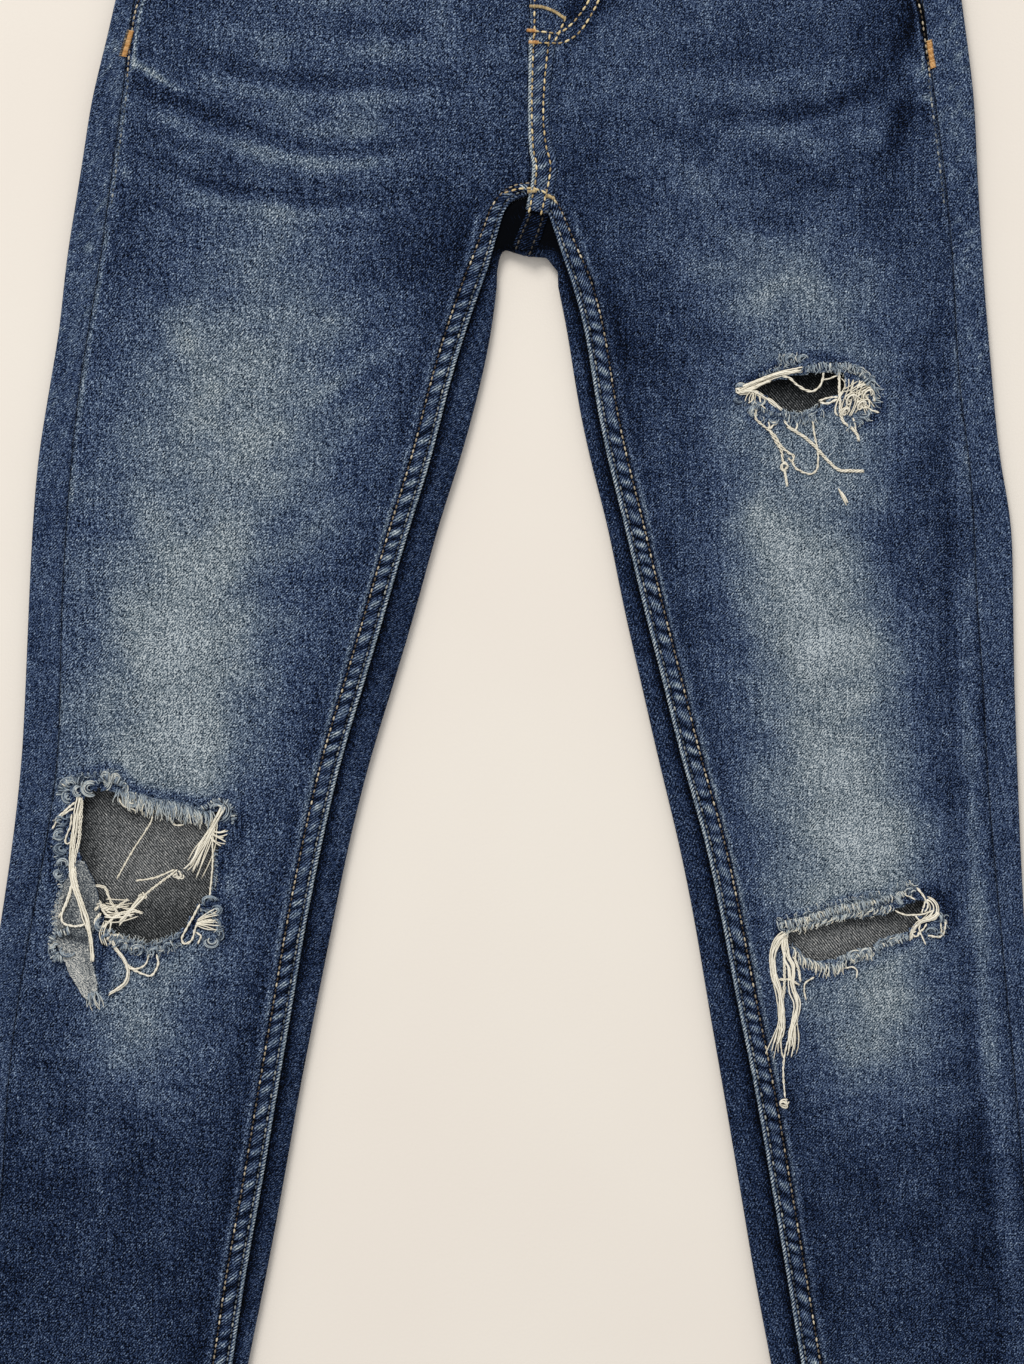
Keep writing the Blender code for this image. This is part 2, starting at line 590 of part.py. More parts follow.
def build():
    clear_scene()
    jeans = collection("ripped_jeans")
    cutters = collection("cutters")

    panel = finish("denim_washed", DENIM)
    seat = finish("denim_seat", DENIM_DARK)
    felled = finish("denim_felled_seams", DENIM)
    torn = finish("denim_wrong_side", DENIM_LIGHT)
    thread = finish("cotton_warp_threads", THREAD)
    brass = finish("aged_brass", BRASS, roughness=0.4, metallic=1.0)

    right = front_panel("front_right", -1, RIGHT_LEG, RIGHT_CROTCH, RIGHT_HIP, 0.5, 0.0, panel, jeans)
    left = front_panel("front_left", 1, LEFT_LEG, LEFT_CROTCH, LEFT_HIP, 1.6, 0.5, panel, jeans)
    cut_hole(right, "right_knee_hole", RIGHT_KNEE_HOLE, 4.4, cutters)
    cut_hole(left, "left_knee_hole", LEFT_KNEE_HOLE, 4.4, cutters)
    cut_hole(left, "left_thigh_hole", LEFT_THIGH_HOLE, 4.4, cutters)

    back_panel("back_right", -1, RIGHT_LEG, RIGHT_FORK, RIGHT_HIP, seat, jeans)
    back_panel("back_left", 1, LEFT_LEG, LEFT_FORK, LEFT_HIP, seat, jeans)
    yoke("yoke_right", -1, RIGHT_HIP, seat, jeans)
    yoke("yoke_left", 1, LEFT_HIP, seat, jeans)
    for name, place in BACK_POCKET_PLACES.items():
        plate(name, BACK_POCKET, FLOOR_LAYER, WALL, seat, jeans, place)

    waistband(panel, jeans)
    belt_loops(panel, jeans)
    waist_button(brass, jeans)
    plate("fly_facing", FLY_FACING, FLY_FACING_LEVEL, WALL, seat, jeans)
    plate("fly_shield", FLY_SHIELD, FLY_SHIELD_LEVEL, THIN, seat, jeans)
    plate("zip", ZIP, ZIP_LEVEL, WALL, brass, jeans)
    pocket_facing("pocket_facing_right", -1, RIGHT_HIP, seat, jeans)
    pocket_facing("pocket_facing_left", 1, LEFT_HIP, seat, jeans)

    inseam("inseam_right", -1, RIGHT_LEG, RIGHT_CROTCH, felled, jeans)
    inseam("inseam_left", 1, LEFT_LEG, LEFT_CROTCH, felled, jeans)
    front_rise(felled, jeans)
    back_rise(felled, jeans)

    for name, points in FRAYS.items():
        material = torn if name.startswith("torn") else thread
        plate(name, points, FRAY_LEVEL, THIN, material, jeans)


build()
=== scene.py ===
import bpy
import bmesh
import math
import random
import numpy as np
from functools import partial
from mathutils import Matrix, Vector, noise


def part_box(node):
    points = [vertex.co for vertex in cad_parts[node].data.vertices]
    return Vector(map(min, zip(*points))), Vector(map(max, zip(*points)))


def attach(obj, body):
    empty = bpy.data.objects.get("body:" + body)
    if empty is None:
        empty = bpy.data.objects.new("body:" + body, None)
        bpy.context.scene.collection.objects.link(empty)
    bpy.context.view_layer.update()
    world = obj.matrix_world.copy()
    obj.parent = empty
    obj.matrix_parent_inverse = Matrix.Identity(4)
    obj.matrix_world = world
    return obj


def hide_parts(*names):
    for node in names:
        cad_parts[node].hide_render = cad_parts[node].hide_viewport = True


# Ripped skinny jeans laid flat on their back, seen from straight above.
# Tables give millimetres in the frame: x towards the wearer's left, y towards the waist.
# A route is a flat row of numbers: x and y of its first point, then of the next.
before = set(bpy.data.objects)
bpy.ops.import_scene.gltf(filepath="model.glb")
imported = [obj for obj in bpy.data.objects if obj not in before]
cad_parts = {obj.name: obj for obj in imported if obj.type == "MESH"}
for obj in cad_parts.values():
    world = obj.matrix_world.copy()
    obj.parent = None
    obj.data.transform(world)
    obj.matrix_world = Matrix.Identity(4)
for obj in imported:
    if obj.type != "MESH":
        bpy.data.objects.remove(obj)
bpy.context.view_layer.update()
print("frame loaded")

mm = 0.001
clothWall = 1.2 * mm
halfGap = 0.15 * mm
onTop = 1.5 * mm  # from one layer's middle to the middle of the next
pieceList = []


def lerp(a, b, t):
    return a + (b - a) * t


def smooth(t):
    t = np.clip(t, 0.0, 1.0)
    return t * t * (3 - 2 * t)


# A soft ridge: 1 where distance is 0
def bell(distance, width):
    return np.exp(-(distance / width) ** 2)


def hexColour(code, alpha=1.0):
    channels = [int(code[i:i + 2], 16) / 255 for i in (1, 3, 5)]
    linear = [c / 12.92 if c <= 0.04045 else ((c + 0.055) / 1.055) ** 2.4 for c in channels]
    return (*linear, alpha)


# Lowest and highest x of a node on each line across it
def crossingsOf(nodeName, heights):
    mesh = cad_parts[nodeName].data
    points = np.empty(len(mesh.vertices) * 3)
    mesh.vertices.foreach_get("co", points)
    pairs = np.empty(len(mesh.edges) * 2, dtype=np.int64)
    mesh.edges.foreach_get("vertices", pairs)
    edges = points.reshape(-1, 3)[pairs.reshape(-1, 2)]
    found = []
    for y in heights:
        a, b = edges[:, 0], edges[:, 1]
        hit = (a[:, 1] - y) * (b[:, 1] - y) <= 0
        a, b = a[hit], b[hit]
        run = b[:, 1] - a[:, 1]
        share = np.where(np.abs(run) < 1e-9, 0.5, (y - a[:, 1]) / np.where(run == 0, 1, run))
        x = lerp(a[:, 0], b[:, 0], share)
        found.append((x.min(), x.max()))
    return np.array(found)


# Rounds the facets of a measured line; width is in samples
def softened(values, width):
    reach = int(width * 2.5)
    kernel = np.exp(-0.5 * (np.arange(-reach, reach + 1) / width) ** 2)
    before = 2 * values[0] - values[reach:0:-1]
    after = 2 * values[-1] - values[-2:-reach - 2:-1]
    return np.convolve(np.concatenate([before, values, after]), kernel / kernel.sum(), mode="valid")


measure = dict(step=3.0 * mm, rounding=5.0, crotch=205.5 * mm, pocket=302.0 * mm, yoke=412.0 * mm)
waist = dict(centre=16.5 * mm, front=453 * mm, side=462 * mm, back=479 * mm, reach=190 * mm, height=40 * mm)
yokeSeam = dict(side=425 * mm, back=415 * mm)
levels = dict(
    heights=[-600.0, 145.0, 180.0, 205.5, 241.0, 256.0, 292.0, 600.0],
    upper=[4.4, 4.4, 4.5, 5.0, 5.7, 6.0, 6.4, 6.4],
    liftHeights=[233.0, 241.0, 243.3, 256.0],
    lift=[0.0, 0.5, 0.6, 1.5],
    floor=0.6,
)


# Middle of the upper layer of cloth
def levelAt(y):
    return np.interp(y / mm, levels["heights"], levels["upper"]) * mm


# Middle of the lower layer, which lies on the back pockets at the seat
def floorAt(y):
    return (levels["floor"] + np.interp(y / mm, levels["liftHeights"], levels["lift"])) * mm


# The outlines of one half of the jeans, as smooth functions of height
class Leg:
    def __init__(self, name, side, outerTop):
        self.name = name
        self.side = side
        self.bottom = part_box("front_" + name)[0].y
        inner, outer = (1, 0) if side < 0 else (0, 1)
        rounding = measure["rounding"]
        self.heights = heights = np.arange(self.bottom + 0.5 * mm, waist["front"] - mm, measure["step"])
        lines = crossingsOf("front_" + name, heights)
        self.front, self.pocket = lines[:, inner], lines[:, outer]
        onLeg = heights < measure["crotch"]
        self.front[onLeg] = softened(self.front[onLeg], rounding)
        below = heights < measure["pocket"]
        self.pocket[below] = softened(self.pocket[below], rounding)
        self.fine = np.arange(measure["crotch"], 0.246, 0.5 * mm)
        self.crotch = crossingsOf("front_" + name, self.fine)[:, inner]
        backHeights = heights[heights < measure["yoke"]]
        backLines = crossingsOf("back_" + name, backHeights)
        self.backHeights = np.append(backHeights, waist["side"])
        self.outer = np.append(softened(backLines[:, outer], rounding * 0.8), outerTop)
        legHeights = backHeights < 0.2
        self.innerHeights = backHeights[legHeights]
        self.inner = softened(backLines[legHeights, inner], rounding)
        upper = np.arange(measure["pocket"], 0.4575, measure["step"])
        self.seamHeights = np.concatenate([heights[below], upper])
        facingLine = crossingsOf("pocket_facing_" + name, upper)[:, outer]
        self.seam = np.concatenate([self.pocket[below], softened(facingLine, 3)])

    # outer fold of the back panel
    def outerAt(self, y):
        return np.interp(y, self.backHeights, self.outer)

    # inner fold of the back panel, up to the crotch
    def innerAt(self, y):
        return np.interp(y, self.innerHeights, self.inner)

    # inner edge of the front panel: the inseam, the crotch, then the centre seam
    def inseamAt(self, y):
        low = np.interp(y, self.heights, self.front)
        return np.where((y > measure["crotch"]) & (y < 0.2455), np.interp(y, self.fine, self.crotch), low)

    # outer edge of the front panel: the outseam, then the scoop of the pocket
    def pocketAt(self, y):
        scoop = np.interp(y, self.heights, self.pocket)
        return lerp(self.outseamAt(y), scoop, smooth((y / mm - 330) / 34))

    # where the back panel's outer edge is sewn on, up to the waist
    def outseamAt(self, y):
        return np.interp(y, self.seamHeights, self.seam)


legs = {"right": Leg("right", -1, -174.5 * mm), "left": Leg("left", 1, 208.0 * mm)}


def waistSeam(x, middle):
    return lerp(waist[middle], waist["side"], np.minimum(1.0, np.abs(x - waist["centre"]) / waist["reach"]))


# Smooth noise from -1 to 1 over arrays of points; scale is in mm
def fieldNoise(x, y, scale, seed):
    x, y = np.broadcast_arrays(x, y)
    places = zip((x / (scale * mm)).ravel(), (y / (scale * mm)).ravel())
    return np.array([noise.noise(Vector((a, b, seed))) for a, b in places]).reshape(x.shape)


def lineNoise(lengths, *place):
    return np.array([noise.noise(Vector((s, *place))) for s in lengths])


# A smooth curve through given points
def smoothRoute(points, perSpan=8, closed=False):
    p = np.array(points, dtype=float)
    if p.ndim == 1:
        p = p.reshape(-1, 2)
    if closed:
        p = np.vstack([p[-1], p, p[0], p[1]])
    else:
        p = np.vstack([2 * p[0] - p[1], p, 2 * p[-1] - p[-2]])
    t = np.linspace(0, 1, perSpan, endpoint=False)[:, None]
    spans = []
    for a, b, c, d in zip(p, p[1:], p[2:], p[3:]):
        spans.append(0.5 * (2 * b + (c - a) * t + (2 * a - 5 * b + 4 * c - d) * t ** 2
                            + (3 * b - a - 3 * c + d) * t ** 3))
    if not closed:
        spans.append(p[-2][None])
    return np.vstack(spans)


def lengthsOf(route):
    return np.concatenate([[0], np.cumsum(np.linalg.norm(np.diff(route, axis=0), axis=1))])


# A route with evenly spaced points
def evenRoute(route, step):
    lengths = lengthsOf(route)
    count = max(2, int(round(lengths[-1] / step)) + 1)
    places = np.linspace(0, lengths[-1], count)
    return np.stack([np.interp(places, lengths, route[:, i]) for i in range(route.shape[1])], axis=1)


# Unit vectors across a route, to its left
def sidewaysOf(line):
    heading = np.gradient(line, axis=0)
    heading /= np.maximum(np.linalg.norm(heading, axis=1, keepdims=True), 1e-12)
    return np.stack([-heading[:, 1], heading[:, 0]], axis=1)


# Nearest point of a route: distance in mm, share along it and the point itself
def nearestOn(x, y, route):
    best = np.full(x.shape, 1e9)
    along = np.zeros(x.shape)
    foot = np.zeros(x.shape + (2,))
    px, py = x / mm, y / mm
    count = len(route) - 1
    for i in range(count):
        a, d = route[i], route[i + 1] - route[i]
        length = max(float(d @ d), 1e-9)
        t = np.clip(((px - a[0]) * d[0] + (py - a[1]) * d[1]) / length, 0, 1)
        fx, fy = a[0] + t * d[0], a[1] + t * d[1]
        distance = np.hypot(px - fx, py - fy)
        closer = distance < best
        best = np.where(closer, distance, best)
        along = np.where(closer, (i + t) / count, along)
        foot[closer] = np.stack([fx, fy], axis=-1)[closer]
    return best, along, foot


# A soft spot: centre, half-widths, lean in degrees, amount
def blob(x, y, spot):
    cx, cy, rx, ry, lean, amount = spot
    turn = math.radians(lean)
    dx, dy = x / mm - cx, y / mm - cy
    u = dx * math.cos(turn) + dy * math.sin(turn)
    v = -dx * math.sin(turn) + dy * math.cos(turn)
    return amount * np.exp(-0.5 * ((u / rx) ** 2 + (v / ry) ** 2))


# A soft line: width, amount and route; it tapers at both ends
def stroke(x, y, line):
    width, amount, *points = line
    route = smoothRoute(points, 5)
    low, high = route.min(axis=0) - width * 3, route.max(axis=0) + width * 3
    near = (x / mm > low[0]) & (x / mm < high[0]) & (y / mm > low[1]) & (y / mm < high[1])
    result = np.zeros(x.shape)
    if near.any():
        distance, along, _ = nearestOn(x[near], y[near], route)
        taper = np.sin(np.pi * np.clip(0.06 + along * 0.88, 0, 1)) ** 0.6
        result[near] = amount * taper * np.exp(-0.5 * (distance / width) ** 2)
    return result


# The places within reach of a closed route's middle
def around(route, x, y, reach):
    middle = route.mean(axis=0)
    return (np.abs(x / mm - middle[0]) < reach) & (np.abs(y / mm - middle[1]) < reach)


def insideOf(x, y, outline):
    px, py = x / mm, y / mm
    inside = np.zeros(x.shape, dtype=bool)
    previous = outline[-1]
    for point in outline:
        spans = (point[1] > py) != (previous[1] > py)
        run = previous[1] - point[1]
        cut = point[0] + (py - point[1]) * (previous[0] - point[0]) / (run if run else 1e-9)
        inside ^= spans & (px < cut)
        previous = point
    return inside


def addPiece(name, mesh):
    piece = bpy.data.objects.new(name, mesh)
    bpy.context.scene.collection.objects.link(piece)
    return piece


def pushMesh(name, points, faces, materials, faceMaterial=None, uv=None, attributes=None):
    mesh = bpy.data.meshes.new(name)
    mesh.from_pydata(np.asarray(points).tolist(), [], [list(face) for face in faces])
    for material in materials:
        mesh.materials.append(material)
    if faceMaterial is not None:
        mesh.polygons.foreach_set("material_index", np.asarray(faceMaterial, dtype=np.int32))
    if uv is not None:
        corners = np.empty(len(mesh.loops), dtype=np.int64)
        mesh.loops.foreach_get("vertex_index", corners)
        layer = mesh.uv_layers.new(name="cloth")
        layer.data.foreach_set("uv", uv[corners].astype(np.float32).ravel())
    for key, values in (attributes or {}).items():
        attribute = mesh.attributes.new(key, "FLOAT", "POINT")
        attribute.data.foreach_set("value", np.asarray(values, dtype=np.float32))
    mesh.polygons.foreach_set("use_smooth", np.ones(len(mesh.polygons), dtype=bool))
    mesh.update()
    return addPiece(name, mesh)


# Notes a piece with its slot, the nodes it stands for, its cut and what it rests on; at the end each piece
# is attached and its nodes hidden
def keepPiece(piece, slot, nodes=(), cut=None, restsOn=()):
    pieceList.append(dict(piece=piece, slot=slot, nodes=nodes, cut=cut, restsOn=restsOn))
    return piece


# Unit vectors away from a sheet's face. outward is 1 where the grid's columns then rows turn
# anticlockwise seen from the face.
def awayFrom(grid, outward):
    normal = np.cross(np.gradient(grid, axis=1), np.gradient(grid, axis=0)) * outward
    return normal / np.maximum(np.linalg.norm(normal, axis=2, keepdims=True), 1e-12)


# Greatest width and length of a sheet along its cloth, and its area less what is cut away
def cutOf(grid, keep=None):
    a, b = np.diff(grid, axis=1)[:-1], np.diff(grid, axis=0)[:, :-1]
    area = np.linalg.norm(np.cross(a, b), axis=2)
    total = float((area if keep is None else area * keep).sum())
    width = float(np.linalg.norm(np.diff(grid, axis=1), axis=2).sum(axis=1).max())
    length = float(np.linalg.norm(np.diff(grid, axis=0), axis=2).sum(axis=0).max())
    return (round(width, 4), round(length, 4), round(min(total, width * length), 5))


# Cloth coordinates in metres: across from the middle of each row, and up the rows
def clothUv(grid, column, run=1, plumb=False):
    steps = np.linalg.norm(np.diff(grid, axis=1), axis=2)
    across = np.concatenate([np.zeros((grid.shape[0], 1)), np.cumsum(steps, axis=1)], axis=1)
    across = run * (across - across[:, column:column + 1])
    if plumb:  # the grain runs straight up, however the column leans
        way = np.sign(run * (grid[:, column + 1, 0] - grid[:, column - 1, 0]).mean())
        across = across + way * grid[:, column:column + 1, 0]
    return np.stack([across, np.broadcast_to(lengthsOf(grid[:, column])[:, None], across.shape)], axis=-1)


# A sheet that stands for a node, with its thickness: its face, its wrong side and its cut edges.
# The wash and shade value is how faded its face is, with painted shade in places; inner is its wrong side,
# with painted light and shade in the rips.
def clothShell(name, nodeName, slot, grid, outward, face, wash, inner, uv, wrong=None, keep=None,
               wall=clothWall, restsOn=()):
    rows, columns = grid.shape[:2]
    half = awayFrom(grid, outward) * wall / 2
    count = rows * columns
    points = np.vstack([(grid + half).reshape(-1, 3), (grid - half).reshape(-1, 3)])
    index = np.arange(count).reshape(rows, columns)
    corners = [index[:-1, :-1], index[:-1, 1:], index[1:, 1:], index[1:, :-1]]
    quads = np.stack(corners, axis=-1).reshape(-1, 4)
    if keep is not None:
        quads = quads[keep.reshape(-1)]
    if outward < 0:
        quads = quads[:, ::-1]
    starts, ends = quads.reshape(-1), np.roll(quads, -1, axis=1).reshape(-1)
    atEdge = ~np.isin(starts * count + ends, ends * count + starts)
    a, b = starts[atEdge], ends[atEdge]
    rim = np.stack([b, a, a + count, b + count], axis=-1)
    faces = np.vstack([quads, quads[:, ::-1] + count, rim])
    side = np.concatenate([np.zeros(len(quads)), np.ones(len(quads) + len(rim))])
    used = np.unique(faces)
    renumber = np.full(2 * count, -1)
    renumber[used] = np.arange(len(used))
    allWashAndShade = np.concatenate([wash.ravel(), np.broadcast_to(inner, wash.shape).ravel()])[used]
    allUv = np.vstack([uv.reshape(-1, 2)] * 2)[used]
    materials = [face, wrong or wrongFace]
    piece = pushMesh(name, points[used], renumber[faces], materials, side, allUv, {"wash": allWashAndShade})
    return keepPiece(piece, slot, [nodeName], cutOf(grid, keep), restsOn)


# Adds a node, or takes one that is there, and sets it. An input takes a number, a vector, an output,
# or a node for its first output.
def addNode(tree, kind, inputs=None, **settings):
    node = tree.nodes.new(kind) if isinstance(kind, str) else kind
    for key, value in settings.items():
        setattr(node, key, value)
    for socket, value in (inputs or {}).items():
        if isinstance(value, bpy.types.Node):
            value = value.outputs[0]
        if isinstance(value, bpy.types.NodeSocket):
            tree.links.new(value, node.inputs[socket])
        else:
            node.inputs[socket].default_value = value
    return node


# Spreads a ramp's colours over the range from low to high
def spreadColours(ramp, stops, low=0.0, high=1.0):
    band = ramp.color_ramp
    while len(band.elements) < len(stops):
        band.elements.new(0.5)
    for element, (place, code) in zip(band.elements, stops):
        element.position = (place - low) / (high - low)
        element.color = hexColour(code)


# A material, what adds nodes to it, and its shader with the values that are the same all over it
def newMaterial(name, values):
    material = bpy.data.materials.new(name)
    material.use_nodes = True
    add = partial(addNode, material.node_tree)
    return material, add, add(material.node_tree.nodes["Principled BSDF"], values)


# Dye from none lost to worn through, by the wash and shade value, whose darkest stops also serve painted
# shade: for cloth that is still dark, and for faded cloth
darkStops = [
    (-0.5, "#010205"), (-0.25, "#091327"), (0.0, "#182745"), (0.25, "#324261"), (0.5, "#4f5f7b"),
    (0.75, "#687b97"), (1.0, "#8397b0"), (1.25, "#a5b8ce"), (1.5, "#c4d5e6"),
]
fadedStops = [
    (-0.5, "#04070c"), (-0.25, "#0e1722"), (0.0, "#1e2c3d"), (0.25, "#394957"), (0.5, "#576571"),
    (0.75, "#6f7d89"), (1.0, "#8b98a3"), (1.25, "#adb7c0"), (1.5, "#cad4da"),
]
# The wrong side shows mostly the bare weft
wrongStops = [
    (-0.5, "#060708"), (-0.2, "#121416"), (0.0, "#222527"), (0.25, "#383b3e"), (0.5, "#55585b"),
    (0.75, "#727578"), (1.0, "#8f9294"), (1.25, "#adaeaf"), (1.5, "#c8c9c7"),
]
tornStops = [
    (-0.5, "#1f2329"), (0.0, "#454b53"), (0.25, "#5d646b"), (0.5, "#7d8387"), (0.75, "#9fa3a4"),
    (1.0, "#bfc1bf"), (1.5, "#dddcd7"),
]
# The real wale is about 0.7 mm wide; it is drawn wider, so that it shows at this distance
weave = dict(wale=1.10, angle=49.0, drift=0.09, wander=1.6, depth=0.00022)


# Cotton twill, right hand, stone washed: matt, its pale weft showing between indigo warps.
# wale, fleck, speckle and streak are how much each shows; their scales are threads per mm.
def denim(name, stops, faded, wale, fleck, speckle, streak, lean=1, weft=(0.55, 1.7)):
    material, add, surface = newMaterial(name, {
        "Roughness": 0.9, "Specular IOR Level": 0.05,
        "Sheen Weight": 0.02, "Sheen Tint": hexColour("#8fa9d6"), "Sheen Roughness": 0.6,
    })
    flat = dict(noise_dimensions="2D")
    times, timesPlus = dict(operation="MULTIPLY"), dict(operation="MULTIPLY_ADD")
    uv = add("ShaderNodeUVMap", uv_map="cloth")
    place = add("ShaderNodeVectorMath", {0: uv, "Scale": 1000.0}, operation="SCALE")  # metres to mm
    turn = (0, 0, math.radians(weave["angle"]) * lean)
    turned = add("ShaderNodeMapping", {"Vector": place, "Rotation": turn}, vector_type="TEXTURE")
    split = add("ShaderNodeSeparateXYZ", {0: turned})
    drift = add("ShaderNodeTexNoise", {"Vector": place, "Scale": weave["drift"], "Detail": 3.0}, **flat)
    phase = add("ShaderNodeMath", {0: drift, 1: weave["wander"], 2: split.outputs["Y"]}, **timesPlus)
    turns = add("ShaderNodeMath", {0: phase, 1: 2 * math.pi / weave["wale"]}, **times)
    wave = add("ShaderNodeMath", {0: turns}, operation="SINE")
    breaks = add("ShaderNodeTexNoise", {"Vector": place, "Scale": 0.45, "Detail": 2.0}, **flat)
    strength = add("ShaderNodeMath", {0: breaks, 1: 2 * wale}, **times)
    average = -(fleck + 1.25 * speckle + 1.25 * streak) / 2
    total = add("ShaderNodeMath", {0: wave, 1: strength, 2: average}, **timesPlus)
    layers = [
        (turned, (*weft, 1.0), 1.0, fleck),               # flecks of weft along the wale
        (place, (1.35, 1.35, 1.0), 1.0, speckle),         # heather of uneven dye
        (place, (0.75, 0.03, 1.0), 3.0, streak),          # thick and thin warp yarns
        (place, (0.05, 0.80, 1.0), 2.0, 0.25 * streak),   # thick and thin weft yarns
        (place, (0.24, 0.17, 1.0), 2.0, 0.25 * speckle),  # clouds of wear
    ]
    for vector, scale, detail, amount in layers:
        spread = add("ShaderNodeMapping", {"Vector": vector, "Scale": scale})
        grain = {"Vector": spread, "Scale": 1.0, "Detail": detail, "Roughness": 0.7}
        noise = add("ShaderNodeTexNoise", grain, **flat)
        total = add("ShaderNodeMath", {0: noise, 1: amount, 2: total}, **timesPlus)
    wash = add("ShaderNodeAttribute", attribute_name="wash")
    mottle = {"Vector": place, "Scale": 0.035, "Detail": 4.0, "Roughness": 0.65}
    noise = add("ShaderNodeTexNoise", mottle, **flat)
    base = add("ShaderNodeMath", {0: noise, 1: 0.34, 2: wash.outputs["Fac"]}, **timesPlus)
    contrast = add("ShaderNodeMath", {0: base, 1: 0.30, 2: 1.0}, **timesPlus)
    woven = add("ShaderNodeMath", {0: total, 1: contrast, 2: base}, **timesPlus)
    share = add("ShaderNodeMapRange", {0: woven, 1: -0.33, 2: 1.67})
    ramps = [add("ShaderNodeValToRGB", {0: share}) for _ in range(2)]
    spreadColours(ramps[0], stops, -0.5, 1.5)
    spreadColours(ramps[1], faded, -0.5, 1.5)
    fade = add("ShaderNodeMapRange", {0: base, 1: 0.35, 2: 0.85})
    dye = add("ShaderNodeMixRGB", {0: fade, 1: ramps[0], 2: ramps[1]})
    bump = add("ShaderNodeBump", {"Height": total, "Strength": 0.6, "Distance": weave["depth"]})
    add(surface, {"Base Color": dye, "Normal": bump})
    return material


# Spun cotton or core-spun polyester: matt, each ply a little paler or darker than the next
def yarn(name, stops, roughness=0.9):
    material, add, surface = newMaterial(name, {
        "Roughness": roughness, "Specular IOR Level": 0.2, "Sheen Weight": 0.08,
    })
    timesPlus = dict(operation="MULTIPLY_ADD")
    tint = add("ShaderNodeAttribute", attribute_name="tint").outputs["Fac"]
    along = add("ShaderNodeAttribute", attribute_name="along").outputs["Fac"]
    tip = add("ShaderNodeMath", {0: along, 1: 0.55, 2: tint}, **timesPlus)
    place = add("ShaderNodeTexCoord").outputs["Object"]
    grain = add("ShaderNodeTexNoise", {"Vector": place, "Scale": 1400.0, "Detail": 2.0})
    mixed = add("ShaderNodeMath", {0: grain, 1: 0.8, 2: tip}, **timesPlus)
    ramp = add("ShaderNodeValToRGB", {0: add("ShaderNodeMapRange", {0: mixed, 1: 0.2, 2: 1.6})})
    spreadColours(ramp, stops)
    bump = add("ShaderNodeBump", {"Height": grain, "Strength": 0.5, "Distance": 0.00008})
    add(surface, {"Base Color": ramp, "Normal": bump})
    return material


dyes = (darkStops, fadedStops)
faceRight = denim("washed twill denim clear wales", *dyes, 0.14, 1.9, 2.4, 0.5, weft=(0.5, 1.45))
faceLeft = denim("washed twill denim heathered", *dyes, 0.14, 1.7, 2.4, 0.5)
seamFace = denim("washed twill denim seams", *dyes, 0.42, 1.3, 1.5, 0.3)
faceBack = denim("washed twill denim dark", *dyes, 0.14, 1.6, 2.2, 0.45)
wrongFace = denim("twill denim wrong side", wrongStops, wrongStops, 0.38, 1.15, 1.25, 0.2)
tornFace = denim("torn twill denim wrong side out", tornStops, tornStops, 0.08, 1.3, 2.2, 0.35, lean=-1)
creamYarn = yarn("bare cotton warp cream", [
    (0.0, "#433d34"), (0.2, "#8a8474"), (0.4, "#d0cab9"), (0.65, "#f1ecdd"), (1.0, "#fffdf6")])
frayYarn = yarn("frayed yarn ends indigo to cream", [
    (0.0, "#1a2434"), (0.2, "#48586e"), (0.42, "#8292a2"), (0.65, "#b5bfc4"), (1.0, "#ebe6d6")])
tanThread = yarn("core-spun top-stitch thread tan", [
    (0.0, "#7d6a48"), (0.5, "#c9b283"), (1.0, "#eee0b8")], 0.7)
brownThread = yarn("worn top-stitch thread brown", [
    (0.0, "#15120f"), (0.4, "#544a40"), (0.7, "#a99e8a"), (1.0, "#dfd6c0")], 0.8)
greyThread = yarn("worn top-stitch thread grey", [
    (0.0, "#15191f"), (0.5, "#59626a"), (1.0, "#b3b5ae")], 0.8)
orangeThread = yarn("bartack thread orange", [(0.0, "#a4723c"), (0.5, "#dba869"), (1.0, "#f8e0b6")], 0.65)
# Seam thread painted dark as shade, for the back rise seam in the hollow under the crotch
shadedSeamThread = yarn("dark seam thread", [(0.0, "#1e1c19"), (1.0, "#58534a")], 0.8)
print("materials made")
